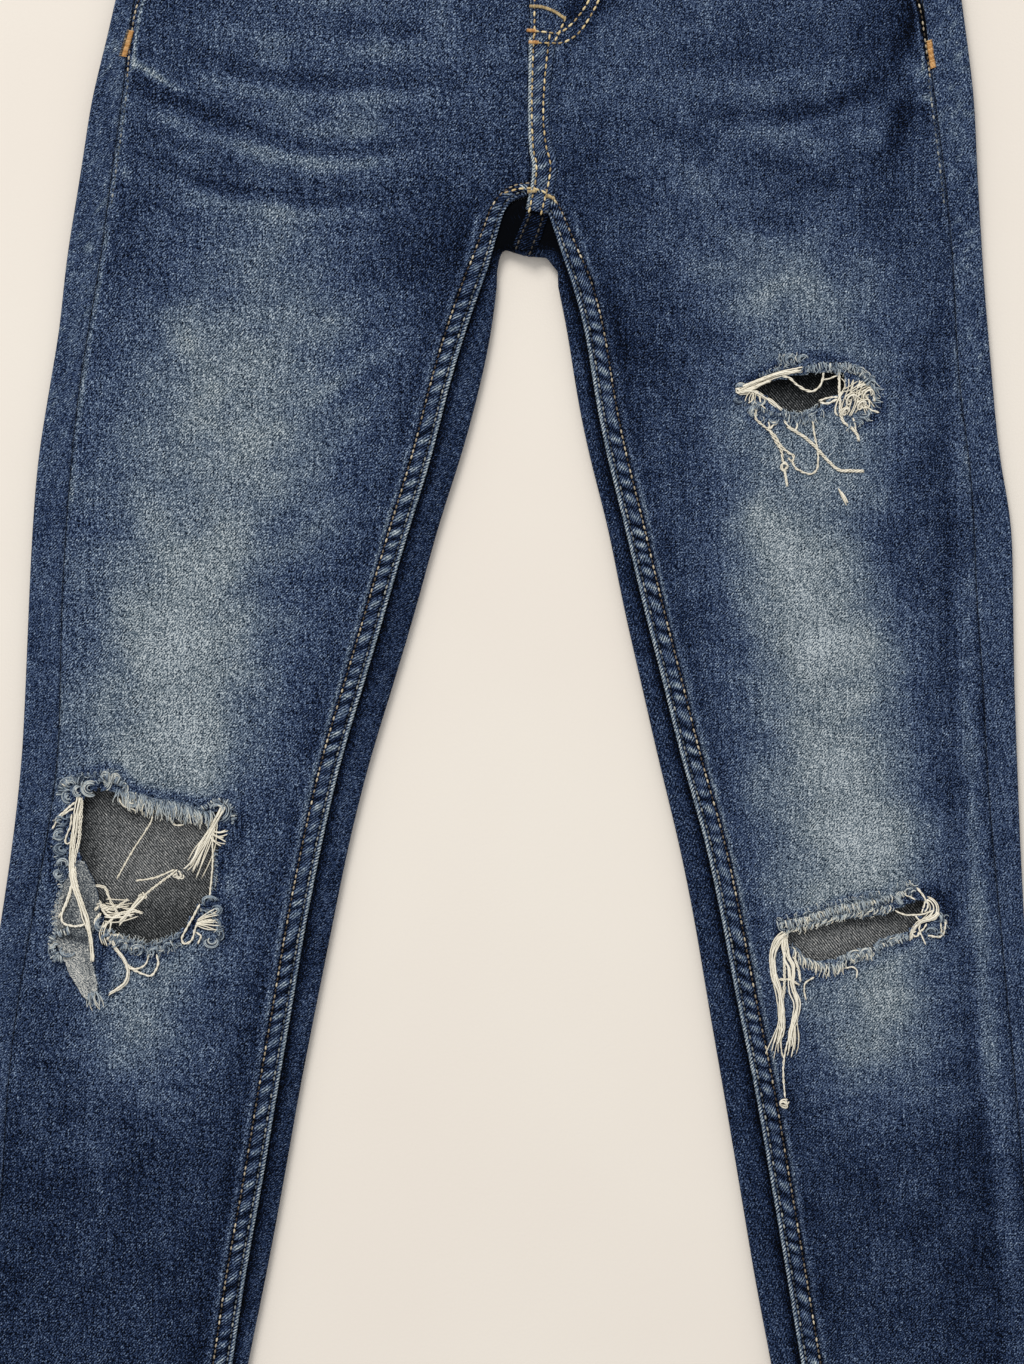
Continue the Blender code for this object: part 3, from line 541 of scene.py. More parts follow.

# Where the dye is worn off. Each row of band: height, wash by the outseam, then the faded band's middle
# as a share of the way in, its reach towards each seam and its wash, and the wash by the inseam.
# Lines are width, amount and route; the dark lines round the rips, by the left pocket, on the fly and along
# the left leg's long fold are painted shadow.
washAndShadeTables = {
    "right": dict(outseam=0.55, shift=-0.1, band=[
        (460, 0.1, 0.55, 0.35, 0.3, 0.26, 0.14), (330, 0.12, 0.6, 0.35, 0.25, 0.34, 0.12),
        (290, 0.12, 0.52, 0.3, 0.3, 0.32, 0.15), (260, 0.18, 0.42, 0.25, 0.3, 0.42, 0.06),
        (230, 0.08, 0.42, 0.22, 0.22, 0.46, -0.02), (200, 0.14, 0.45, 0.25, 0.22, 0.5, -0.02),
        (170, 0.18, 0.42, 0.24, 0.32, 0.64, 0.12), (130, 0.2, 0.42, 0.26, 0.3, 0.74, 0.12),
        (90, 0.22, 0.4, 0.28, 0.32, 0.7, 0.15), (50, 0.2, 0.38, 0.26, 0.26, 0.74, 0.18),
        (20, 0.22, 0.38, 0.26, 0.26, 0.88, 0.2), (-40, 0.3, 0.4, 0.32, 0.24, 0.92, 0.2),
        (-70, 0.25, 0.4, 0.35, 0.25, 0.62, 0.16), (-110, 0.15, 0.45, 0.35, 0.25, 0.62, 0.14),
        (-160, 0.05, 0.45, 0.28, 0.25, 0.56, 0.06), (-190, 0.05, 0.47, 0.26, 0.25, 0.4, 0.04),
        (-215, 0.02, 0.5, 0.3, 0.3, 0.14, 0.03), (-245, -0.03, 0.5, 0.3, 0.3, 0, -0.03),
        (-520, -0.05, 0.5, 0.3, 0.3, -0.02, -0.04),
    ], lines=[
        (3.8, -0.24, -155, 313.5, -109, 300, -27.5, 302),
        (3.6, -0.34, -184, 298.5, -141.5, 280.5, -93, 266, -44, 271),
        (3.2, -0.28, -186, 264.5, -150, 249.5, -93, 241.5, -52, 246.5),
        (4, -0.24, -93, 331, -70, 328, -44, 326.5), (2.6, 0.2, -188, 289, -150, 272.5, -96, 259, -46, 264),
        (3, 0.14, -188, 256, -150, 241, -96, 233, -56, 238), (3, 0.16, -158, 304, -112, 292, -40, 294),
        (2, -0.12, -186, 279, -150, 262, -100, 250, -60, 254), (4, 0.1, -150, 326, -100, 318, -30, 314),
        (1.3, 0.75, -192, 311.5, -180, 304, -165, 294.5),
        # Painted shadow round the right knee's rip, under its fringe and beside its torn flap: this row and
        # the next four
        (1.6, -0.45, -224, -46, -212, -45, -198, -42.5, -188, -53, -170, -57, -150, -60, -140, -56),
        (2.2, -0.35, -136, -62, -136, -76, -143, -90), (2.2, -0.35, -143, -108, -141, -122, -147, -134),
        (2, -0.35, -208, -130, -196, -136, -182, -138, -168, -134),
        (1.8, -0.35, -231, -70, -231, -90, -229, -104),
        (1.4, -0.4, -206, -112, -203.5, -124, -205.5, -140, -203, -156),
        (3.6, 0.18, -63.5, 165.5, -83.5, 152, -101, 139.5), (3, -0.12, -60, 158, -80, 146, -96, 134),
        (3.6, 0.16, -84.5, 89, -102, 76, -117.5, 64.5), (4, 0.1, -70, 190, -95, 178, -125, 168),
        (1.4, 0.45, -194, 257, -192.5, 251), (4, 0.1, -190, 196, -165, 172, -150, 150),
        (12, 0.14, -196, -162, -182, -172, -164, -186),
    ]),
    "left": dict(outseam=0.28, shift=-0.05, band=[
        (460, -0.05, 0.55, 0.3, 0.3, 0.18, 0.14), (330, -0.06, 0.58, 0.3, 0.3, 0.2, 0.16),
        (290, 0, 0.6, 0.4, 0.3, 0.16, 0.12), (260, 0.05, 0.55, 0.35, 0.25, 0.18, 0.04),
        (230, 0.08, 0.5, 0.3, 0.3, 0.22, -0.02), (200, 0.08, 0.42, 0.22, 0.28, 0.52, -0.04),
        (170, 0.08, 0.38, 0.2, 0.25, 0.46, -0.08), (140, 0.02, 0.42, 0.22, 0.24, 0.72, -0.06),
        (110, 0, 0.46, 0.24, 0.22, 0.66, 0.05), (80, -0.06, 0.5, 0.24, 0.22, 0.68, 0.1),
        (50, -0.02, 0.5, 0.24, 0.22, 0.74, 0.08), (20, -0.03, 0.46, 0.22, 0.22, 0.9, 0.05),
        (-10, 0.03, 0.48, 0.24, 0.28, 0.7, 0.1), (-40, 0, 0.46, 0.22, 0.28, 0.84, 0.14),
        (-100, 0.05, 0.5, 0.26, 0.28, 0.86, 0.15), (-130, 0.08, 0.5, 0.24, 0.28, 0.8, 0.16),
        (-160, 0.08, 0.5, 0.22, 0.28, 0.74, 0.14), (-190, 0.06, 0.52, 0.22, 0.24, 0.5, 0.1),
        (-215, 0, 0.52, 0.22, 0.3, 0.16, 0.02), (-245, -0.12, 0.6, 0.3, 0.3, -0.02, 0),
        (-520, -0.12, 0.6, 0.3, 0.3, -0.04, -0.02),
    ], lines=[
        (4.5, -0.14, 88, 311, 112, 311, 138.5, 311.5), (3.8, -0.24, 98, 284, 147, 285.5, 187.5, 300),
        (3, 0.12, 64, 301, 98, 277, 150, 278, 190, 292), (3.5, -0.2, 114, 262.5, 140, 257, 163, 249.5),
        (4, -0.12, 130.5, 244.5, 148, 246, 163, 249.5), (4, -0.12, 94.5, 235, 120, 231, 147, 228.5),
        (4, 0.1, 96, 297, 150, 298, 190, 313), (4, 0.1, 104, 273, 160, 268, 196, 280),
        (4.5, 0.08, 60, 258, 100, 250, 140, 238), (4.5, 0.1, 150, 205, 120, 190, 90, 182),
        (5, 0.1, 120, 90, 140, 60, 152, 30), (3, 0.12, 128, 22, 150, 18, 178, 24),
        (3, -0.1, 126, 4, 150, -2, 184, 4), (3, 0.42, 198, 309, 203, 305, 208, 301),
        # The dark line at the end of this row is painted shadow beside the left pocket's cord; the next
        # three rows are painted shade on the fly, along its rows and between its arc and rows
        (1.6, 0.7, 204, 292, 207, 291.5, 209.5, 292), (2, -0.5, 205.5, 345, 206, 330, 207.5, 312),
        (2.4, -0.35, 50.5, 451, 50.3, 385, 49, 356, 45, 340, 36, 325, 29, 319),
        (2.4, -0.3, 41.4, 451, 41, 385, 39.5, 356, 36.5, 342, 30, 333),
        (4.5, -0.4, 30, 341, 30, 333, 30.5, 326),
        # Painted shadow round the left knee's rip: this row and the next two
        (1.5, -0.45, 133, -119, 150, -114.5, 168, -108.5, 188, -104),
        (3, -0.5, 207, -102, 215, -108, 219, -118, 217, -128),
        (1.8, -0.28, 143, -145, 156, -147.5, 170, -143, 186, -138.5, 198, -132),
        # Painted shadow round the thigh's rip: this row, the next and the first line of the row after
        (1.6, -0.4, 112, 149, 126, 155, 140, 162, 160, 162, 176, 156),
        (2, -0.45, 182, 150, 184, 140, 180, 131, 171, 128),
        # The second line of this row and the next row are painted fold shadows by and below the left pocket
        (1.8, -0.25, 116, 138, 120, 132, 132, 129, 146, 128), (4, -0.42, 203, 350, 200, 332, 194, 314),
        (4.5, -0.36, 198, 294, 194, 280, 187, 258),
        (4.5, 0.3, 222, 150, 228, 80, 227, 0, 231, -90, 241, -200, 251, -300, 262, -519),
        # Painted shade along the long fold by the left outseam
        (3, -0.12, 213, 210, 216, 145, 218, 80, 220, 0, 225, -80, 232, -200, 241, -300, 256, -519),
    ]),
}


# Pale down the thigh and knee, dark by the seams, whiskered at the hip, streaked by uneven yarns, with
# painted shadow round the rips, on the fly, by the pockets' cords and along some folds
def frontWashAndShade(leg, x, y):
    table = washAndShadeTables[leg.name]
    band = np.array(sorted(table["band"]))
    inner, outer = leg.inseamAt(y), leg.pocketAt(y)
    share = (x - outer) / (inner - outer)
    byOutseam, middle, toOuter, toInner, peak, byInseam = [
        np.interp(y / mm, band[:, 0], band[:, column]) for column in range(1, 7)
    ]
    away = (share - middle) / np.where(share < middle, toOuter, toInner)
    level = lerp(byOutseam, byInseam, smooth(share))
    uneven = 1 + 0.18 * fieldNoise(x, y, 38, 12.3 + leg.side)
    value = lerp(level, peak * uneven, np.exp(-np.abs(away) ** 2.2 * 0.9)) + table["shift"]
    for line in table["lines"]:
        value += stroke(x, y, line)
    fromInseam = np.abs(x - inner) / mm
    beside = 0.40 * bell(fromInseam - 11.9, 1.2) - 0.10 * bell(fromInseam - 17, 5)
    value += beside * (y < 0.235)
    # The fly's edge: a pale worn ridge, with a line of painted shadow beside it
    byFly = 0.75 * bell(fromInseam - 0.9, 0.9) - 0.55 * bell(fromInseam - 2.5, 0.9)
    value += byFly * (y > 0.3215) * (leg.side > 0)
    fromOutseam = np.abs(x - outer) / mm
    patchy = 0.4 + 1.2 * np.abs(fieldNoise(x + y, (x - y) * 0.3, 4, 7.2))
    flecks = table["outseam"] * bell(fromOutseam - 1.2, 1.4) * patchy * smooth((y / mm - 20) / 160)
    # At the pockets' mouths a pale worn cord with a line of painted shadow beside it; lower down, pale
    # flecks of wear by the outseam
    cord = 0.75 * bell(fromOutseam - 3.4, 1.0) - 0.55 * bell(fromOutseam - 1.4, 1.0)
    value += np.where(y > 0.304, cord, flecks)
    value += 0.13 * fieldNoise(x, y, 22, 3.1) + 0.07 * fieldNoise(x * 0.4, y, 8, 8.4)
    return value + 0.06 * fieldNoise(x, y * 0.10, 3, 5.9)


# The rips of each front, and its creases and folds: width, height in mm and route
rips = {
    "right": [
        (-213.5, -57, -198, -55.5, -186.5, -64.5, -175.5, -64, -165.5, -69, -152.5, -69.5, -147.5, -63.5,
         -148, -84, -150.5, -105.5, -156.5, -111, -164, -122, -178, -131, -190, -130, -202, -123.5, -209.5,
         -105, -216, -89),
    ],
    "left": [
        (137, -124.5, 158.5, -120, 185.5, -116, 205, -109, 205.5, -113.5, 197, -126, 173, -134, 152.5,
         -139.5, 140.5, -132.5),
        (121, 146.5, 136, 152, 162, 155, 166.5, 152, 163, 143.5, 141.5, 134.5, 126, 143),
    ],
}
creases = {
    "right": [
        (6, -0.5, -155, 313.5, -109, 300, -27.5, 302),
        (6, -0.6, -184, 298.5, -141.5, 280.5, -93, 266, -44, 271), (6, 0.5, -170, 306, -120, 291, -60, 286),
        (6, 0.5, -190, 290, -150, 268, -96, 254, -50, 257),
        (6, -0.5, -186, 264.5, -150, 249.5, -93, 241.5, -52, 246.5),
        (5, 0.9, -63.5, 165.5, -83.5, 152, -101, 139.5), (5, 0.7, -84.5, 89, -102, 76, -117.5, 64.5),
        (6, -0.6, -60, 180, -85, 168, -110, 158), (5, -0.6, -212, 40, -208, -10, -211, -50),
        (2.5, 0.5, -190, 310.5, -178, 303, -166.5, 296),
    ],
    "left": [
        (6, -0.6, 98, 284, 147, 285.5, 187.5, 300), (6, 0.5, 96, 297, 150, 298, 190, 313),
        (5, -0.5, 114, 262.5, 140, 257, 163, 249.5), (6, 0.5, 104, 273, 160, 268, 196, 280),
        (5, -0.4, 94.5, 235, 120, 231, 147, 228.5), (4, 0.7, 128, 22, 150, 18, 178, 24),
        (4, -0.6, 126, 4, 150, -2, 184, 4), (4, 0.4, 118, 36, 140, 32, 170, 40),
        (4, 0.6, 208, 306, 204, 292, 196, 280),
        (5, -1.5, 209, 206, 214, 145, 216, 80, 220, 0, 225, -80, 232, -200, 240, -300, 255, -519),
        (6, 0.6, 201, 190, 206, 120, 207, 60, 211, 0, 215, -80, 221, -190),
    ],
}
pucker = dict(period=8.0, height=0.32, reach=5.0)
hem = dict(depth=13.0, height=0.5)
lift = dict(height=0.9, reach=3.0)


# Ragged outline of a rip, in mm
def ripOutline(points, seed):
    route = evenRoute(smoothRoute(points, 6, closed=True), 1.2)
    outward = route - route.mean(axis=0)
    outward /= np.linalg.norm(outward, axis=1, keepdims=True)
    ragged = [noise.noise(Vector((a * 0.35, b * 0.35, seed))) for a, b in route]
    return route + outward * 0.9 * np.array(ragged)[:, None]


ripRoutes = {name: [ripOutline(points, 4.0 + i) for i, points in enumerate(rips[name])] for name in rips}


# Height of a front above its level, in metres
def frontRelief(leg, x, y):
    fromInseam = np.abs(x - leg.inseamAt(y)) / mm
    fromOutseam = np.abs(x - leg.pocketAt(y)) / mm
    clear = smooth((fromOutseam - 4) / 16)
    fromFly = np.abs(x - 9 * mm) / mm
    free = np.where(y > 0.25, clear * smooth((fromFly - 6) / 20), smooth((fromInseam - 12) / 22) * clear)
    relief = free * (0.7 * fieldNoise(x, y * 0.6, 75, 1.7 + leg.side) + 0.3 * fieldNoise(x, y, 24, 5.2))
    for line in creases[leg.name]:
        relief += stroke(x, y, line) * smooth(fromOutseam / 8)
    wave = np.sin(2 * np.pi * (y / mm / pucker["period"] + 0.5 * fieldNoise(x * 0, y, 22, 2.2)))
    beside = np.exp(-np.maximum(fromInseam - 10.5, 0) / pucker["reach"]) * (fromInseam > 10) * (y < 0.24)
    relief += pucker["height"] * wave * beside
    relief += 0.2 * wave * np.exp(-fromOutseam / 4.0) + 0.35 * bell(fromOutseam - 6, 3.5)
    relief -= 0.75 * bell(fromOutseam, 1.8)
    fromHem = (y - leg.bottom) / mm - hem["depth"]
    relief += hem["height"] * (1 - smooth((fromHem + 1) / 1.5)) - 0.3 * bell(fromHem + 3, 0.9)
    for route in ripRoutes[leg.name]:
        near = around(route, x, y, 60)
        if near.any():
            distance = nearestOn(x[near], y[near], np.vstack([route, route[:1]]))[0]
            uneven = 0.6 + 0.6 * fieldNoise(x[near], y[near], 9, 6.6)
            relief[near] += lift["height"] * uneven * np.exp(-distance / lift["reach"])
    return relief * mm


frontGrid = dict(rowStep=2.0, crotchStep=1.0, columns=68, gather=0.35, snap=0.95)


def frontPanel(leg, material):
    step, top = frontGrid["rowStep"], waist["front"] / mm
    heights = np.concatenate([
        np.arange(leg.bottom / mm + 0.1, 203, step), np.arange(203, 248, frontGrid["crotchStep"]),
        np.arange(248, top - 1, step), [top - 0.15],
    ]) * mm
    u = np.linspace(0, 1, frontGrid["columns"])
    share = u - frontGrid["gather"] / (2 * np.pi) * np.sin(2 * np.pi * u)  # closer columns by both seams
    x = lerp(leg.inseamAt(heights)[:, None], leg.pocketAt(heights)[:, None], share[None])
    y = np.broadcast_to(heights[:, None], x.shape).copy()
    y += (waistSeam(x, "front") - waist["front"]) * smooth((y - 0.38) / (waist["front"] - 0.38))
    keep = np.ones((len(heights) - 1, len(u) - 1), dtype=bool)
    relief = frontRelief(leg, x, y)
    wash = frontWashAndShade(leg, x, y)
    for route in ripRoutes[leg.name]:  # points near a rip's edge are drawn onto it
        closed = np.vstack([route, route[:1]])
        near = around(route, x, y, 60)
        distance, _, foot = nearestOn(x[near], y[near], closed)
        snap = (distance < frontGrid["snap"])[:, None]
        x[near], y[near] = np.where(snap, foot * mm, np.stack([x[near], y[near]], axis=-1)).T
        centreX = (x[:-1, :-1] + x[1:, :-1] + x[:-1, 1:] + x[1:, 1:]) / 4
        centreY = (y[:-1, :-1] + y[1:, :-1] + y[:-1, 1:] + y[1:, 1:]) / 4
        keep &= ~insideOf(centreX, centreY, route)
        away = np.full(x.shape, 99.0)
        away[near] = nearestOn(x[near], y[near], closed)[0]
        # A pale frayed edge, then a band of painted shade round the rip, under its fringes
        wash += 0.15 * bell(away, 0.9) - 0.42 * bell(away - 2.5, 2.6)
    grid = np.stack([x, y, levelAt(y) + relief], axis=-1)
    clothShell("front_" + leg.name + "_denim", "front_" + leg.name, "denim_faded", grid, leg.side, material,
               wash, 0.45, np.stack([x, y], axis=-1), keep=keep, restsOn=["back_" + leg.name])


frontPanel(legs["right"], faceRight)
frontPanel(legs["left"], faceLeft)
print("fronts made")

# Stations round the crotch, from the inner edge of the leg to the centre back seam: x and y of where the
# floor ends, of the turned edge, of the way it faces and of where it meets the front; the upper level
forks = {
    "right": [
        (-19, 218, -6.3, 213.5, 0.92, -0.38, -8.7, 218, 5.2),
        (-11, 227, -3.5, 216.5, 0.5, -0.86, -5.4, 231, 5.4), (-1.5, 231, 1, 215.5, 0.1, -1, -0.2, 239, 5.5),
        (7.5, 233, 7.5, 213.5, 0, -1, 7.5, 241.6, 5.5),
    ],
    "left": [
        (33, 214, 20.2, 209.5, -0.8, -0.6, 24.4, 215, 5.2),
        (25, 224, 17.5, 212.6, -0.35, -0.94, 20.1, 229, 5.4), (16, 230, 13, 213.2, 0, -1, 15, 237.4, 5.5),
        (7.5, 233, 7.5, 213.5, 0, -1, 7.5, 240.9, 5.5),
    ],
}
backGrid = dict(rowStep=3.2, top=7, turn=8, floor=36, inset=14.0, forkSteps=8)
backSeam = dict(heights=[243, 256, 292, 318, 341, 385, 425, 480],
                across=[8.0, 8.5, 10.0, 11.0, 12.0, 14.0, 15.0, 16.5])


# The centre back seam's place at a height in mm, on one leg's side of it
def backSeamAt(leg, height):
    return np.interp(height, backSeam["heights"], backSeam["across"]) * mm + leg.side * halfGap


def straight(start, end, count):
    t = np.linspace(0, 1, count)[:, None]
    return lerp(np.array(start, dtype=float), np.array(end, dtype=float), t)


# Points round a folded edge, from the lower layer to the upper one
def turned(edge, normal, low, high, count):
    angle = np.linspace(-math.pi / 2, math.pi / 2, count)
    radius = (high - low) / 2
    reach = radius * (np.cos(angle) - 1)
    size = math.hypot(*normal)
    return np.stack([edge[0] + normal[0] / size * reach, edge[1] + normal[1] / size * reach,
                     (low + high) / 2 + radius * np.sin(angle)], axis=1)


# From the outseam on top, over the outer fold and along the floor to start
def outerHalf(leg, height, sideHeight, start):
    low, high = floorAt(sideHeight), levelAt(sideHeight)
    outseam = float(leg.outseamAt(sideHeight)) + leg.side * halfGap
    edge = (float(leg.outerAt(sideHeight)), sideHeight)
    fold = turned(edge, (leg.side, 0), low, high, backGrid["turn"])[::-1]
    top = straight((outseam, sideHeight, high), fold[0], backGrid["top"])[:-1]
    floor = straight(fold[-1], (start[0], start[1], floorAt(height)), backGrid["floor"])[1:]
    return np.vstack([top, fold, floor])


# One row of a back panel; its second half is the turn at the inner edge and the strip on top by the inseam
def backRow(leg, start, edge, normal, seam, high):
    fold = turned(edge, normal, floorAt(start[1]), high, backGrid["turn"])
    top = straight(fold[-1], (*seam, high), backGrid["top"])[1:]
    return np.vstack([outerHalf(leg, start[1], start[1], start), fold, top])


def backPanel(leg):
    rows, unused = [], backGrid["turn"] + backGrid["top"] - 1
    crotch = measure["crotch"]
    for y in np.arange(leg.bottom + 0.1 * mm, crotch, backGrid["rowStep"] * mm):
        inner = float(leg.innerAt(y))
        start = (inner + leg.side * backGrid["inset"] * mm, y)
        seam = (float(leg.inseamAt(y)) - leg.side * 2 * halfGap, y)
        rows.append(backRow(leg, start, (inner, y), (-leg.side, 0), seam, levelAt(y)))
    inner, height = float(leg.innerAt(crotch)) / mm, crotch / mm
    first = (inner + leg.side * backGrid["inset"], height, inner, height, -leg.side, 0,
             float(leg.inseamAt(crotch)) / mm, height, 5.0)
    for row in smoothRoute(np.array([first] + forks[leg.name]), backGrid["forkSteps"])[1:]:
        rows.append(backRow(leg, row[:2] * mm, row[2:4] * mm, row[4:6], row[6:8] * mm, row[8] * mm))
    forked = len(rows)
    top = yokeSeam["side"] / mm
    for y in np.arange(236, top, backGrid["rowStep"]).tolist() + [top - 0.15]:
        row = outerHalf(leg, y * mm, y * mm, (backSeamAt(leg, y), y * mm))
        row[:, 1] -= 10 * mm * smooth((y - 340) / 85) * np.linspace(0, 1, len(row))
        rows.append(np.vstack([row, np.repeat(row[-1:], unused, axis=0)]))
    grid = np.array(rows)
    keep = np.ones((len(rows) - 1, grid.shape[1] - 1), dtype=bool)
    keep[forked - 1:, -unused:] = False
    return grid, keep


# Strength of the back's wash: plain dark by the inseam, with a line of painted shadow right beside it,
# paler down the back of the thigh and on the seat
backSpots = [(150, 60, 40, 110, 0, 0.30), (110, 320, 70, 60, 0, 0.30), (175, -80, 34, 60, 0, 0.25)]
backCreases = [
    (4, 0.16, 80, -30, 130, -42, 200, -36), (4, 0.14, 85, -48, 140, -60, 210, -52),
    (4, 0.12, 78, -8, 130, -20, 205, -12), (5, 0.14, 40, 232, 90, 222, 180, 232),
    (5, 0.1, 50, 212, 100, 200, 190, 208),
]
# Tones of the back's turned strips; crotch is painted shade, in the hollow under the front's crotch
stripWashAndShade = dict(inner=-0.06, outer=0.13, crotch=-0.95)


# The back's tone, with painted shade under the crotch and beside the inseam
def backWashAndShade(leg, grid):
    across, y = grid[..., 0], grid[..., 1]
    x = across * leg.side
    value = 0.16 + sum(blob(x, y, spot) for spot in backSpots)
    for line in backCreases:
        value += stroke(x, y, line)
    columns = np.arange(grid.shape[1])
    outerTop = 1 - smooth((columns - backGrid["top"] - 2) / 4.0)
    innerTop = smooth((columns - grid.shape[1] + backGrid["top"] + backGrid["turn"]) / 4.0)
    strip = stripWashAndShade["outer"] - 0.14 * smooth((-y / mm - 190) / 80) + 0.06 * fieldNoise(x, y, 30, 9.1)
    value = lerp(value, strip, outerTop[None])
    inner = stripWashAndShade["inner"] + 0.08 * fieldNoise(x, y, 40, 7.7)
    # painted shade in the hollow under the front's crotch
    inner = lerp(inner, stripWashAndShade["crotch"], smooth((y / mm - 213) / 7))
    value = lerp(value, inner, innerTop[None] * (y < 0.245))
    # a line of painted shadow beside the inseam's felled seam
    value -= 0.55 * bell(np.abs(across - leg.inseamAt(y)) / mm, 3.2) * innerTop[None]
    marks = np.maximum(0, fieldNoise(across - y, (across + y) * 0.25, 2.6, 6.9))
    value += 0.5 * marks * outerTop[None] * smooth((y / mm - 40) / 160)
    return value + 0.05 * fieldNoise(x, y, 15, 4.4)


# Wrong side of the back, seen through the rips: painted shade under their edges and over the thigh's rip,
# painted light in the middles of the knees' rips
insideLightAndShade = {
    "right": [
        (-188, -88, 24, 22, 0, 0.08), (-165, -88, 22, 22, 0, 0.1), (-180, -124, 34, 12, 0, -0.26),
        (-158, -112, 12, 14, 0, -0.14), (-213, -80, 4, 30, 0, -0.3), (-180, -60, 40, 5, 0, -0.25),
    ],
    "left": [
        (145, 146, 22, 14, 0, -0.34), (154, 151, 22, 5, 0, -0.45), (168, -127, 26, 7, 0, 0.16),
        (172, -116, 34, 4, 15, -0.2), (200, -115, 10, 8, 0, -0.2),
    ],
}

for name, leg in legs.items():
    grid, keep = backPanel(leg)
    x, y = grid[..., 0], grid[..., 1]
    sag = 0.35 * mm * fieldNoise(x, y, 45, 2.9)
    grid[..., 2] += np.abs(sag) * (grid[..., 2] < 3 * mm) + 0.25 * sag
    # The wrong side's tone, with the painted light and shade of the rips
    inner = 0.42 + sum(blob(x, y, spot) for spot in insideLightAndShade[name]) + 0.06 * fieldNoise(x, y, 20, 1.1)
    clothShell("back_" + name + "_denim", "back_" + name, "denim_dark", grid, leg.side, faceBack,
               backWashAndShade(leg, grid), inner, clothUv(grid, 20, leg.side, True), keep=keep)
print("backs made")


# A felled seam: both edges turned in, sewn down with two rows, roped between the stitches
felled = dict(width=10.5, columns=21, rowStep=0.92, rows=(2.5, 9.2), groove=0.40, crown=0.28, roping=0.42,
              lean=0.75)
# Tones of a felled seam: groove is painted shade in its rows of stitches; roping pales the worn crests and
# paints the hollows darker, as painted shade
felledLight = dict(base=0.12, roping=0.66, ridge=0.72, groove=0.85, climb=[-0.10, -0.02, 0.04, -0.04],
                   worn=[1.0, 1.0, 0.5, 0.2])
ends = {
    "right": [(-6.6, 227), (-4.5, 234), (-1.2, 239.3), (3.4, 242.6), (8.7, 243.8)],
    "left": [(21.9, 224), (18.7, 233), (15.8, 238.4), (12.8, 241.8), (9.4, 243.7)],
}
riseShape = dict(width=11.5, columns=21, rowStep=0.8, rows=(1.9, 8.6), groove=0.30, crown=0.25, roping=0.28,
                 lean=-0.5)
riseLight = dict(base=0.16, roping=0.26, ridge=1.15, groove=0.45, climb=[0.0, 0.0, 0.0, 0.05],
                 worn=[1.0, 1.0, 0.1, 0.8])
riseRoute = (7, 235.8, 8, 240.5, 9.8, 250, 10.2, 258.5, 8.8, 266, 8.3, 281, 8.4, 300, 8.6, 322)
riseWidths = [10.5, 11.0, 12.0, 11.0, 9.8, 9.8, 10.5, 11.8, 13.5]
backRiseShape = dict(width=11.5, columns=15, rowStep=0.8, rows=(1.9, 9.2), groove=0.35, crown=0.3,
                     roping=0.12, lean=0.5)
# The back rise seam lies in the hollow under the crotch: its low base is painted shade
backRiseLight = dict(base=-0.50, roping=0.05, ridge=0.10, groove=0.2, climb=[0.0] * 4, worn=[1.0] * 4)
backRiseRoute = (0.4, 217.6, 2.2, 222, 5.2, 229, 8, 236, 9.2, 239.5)


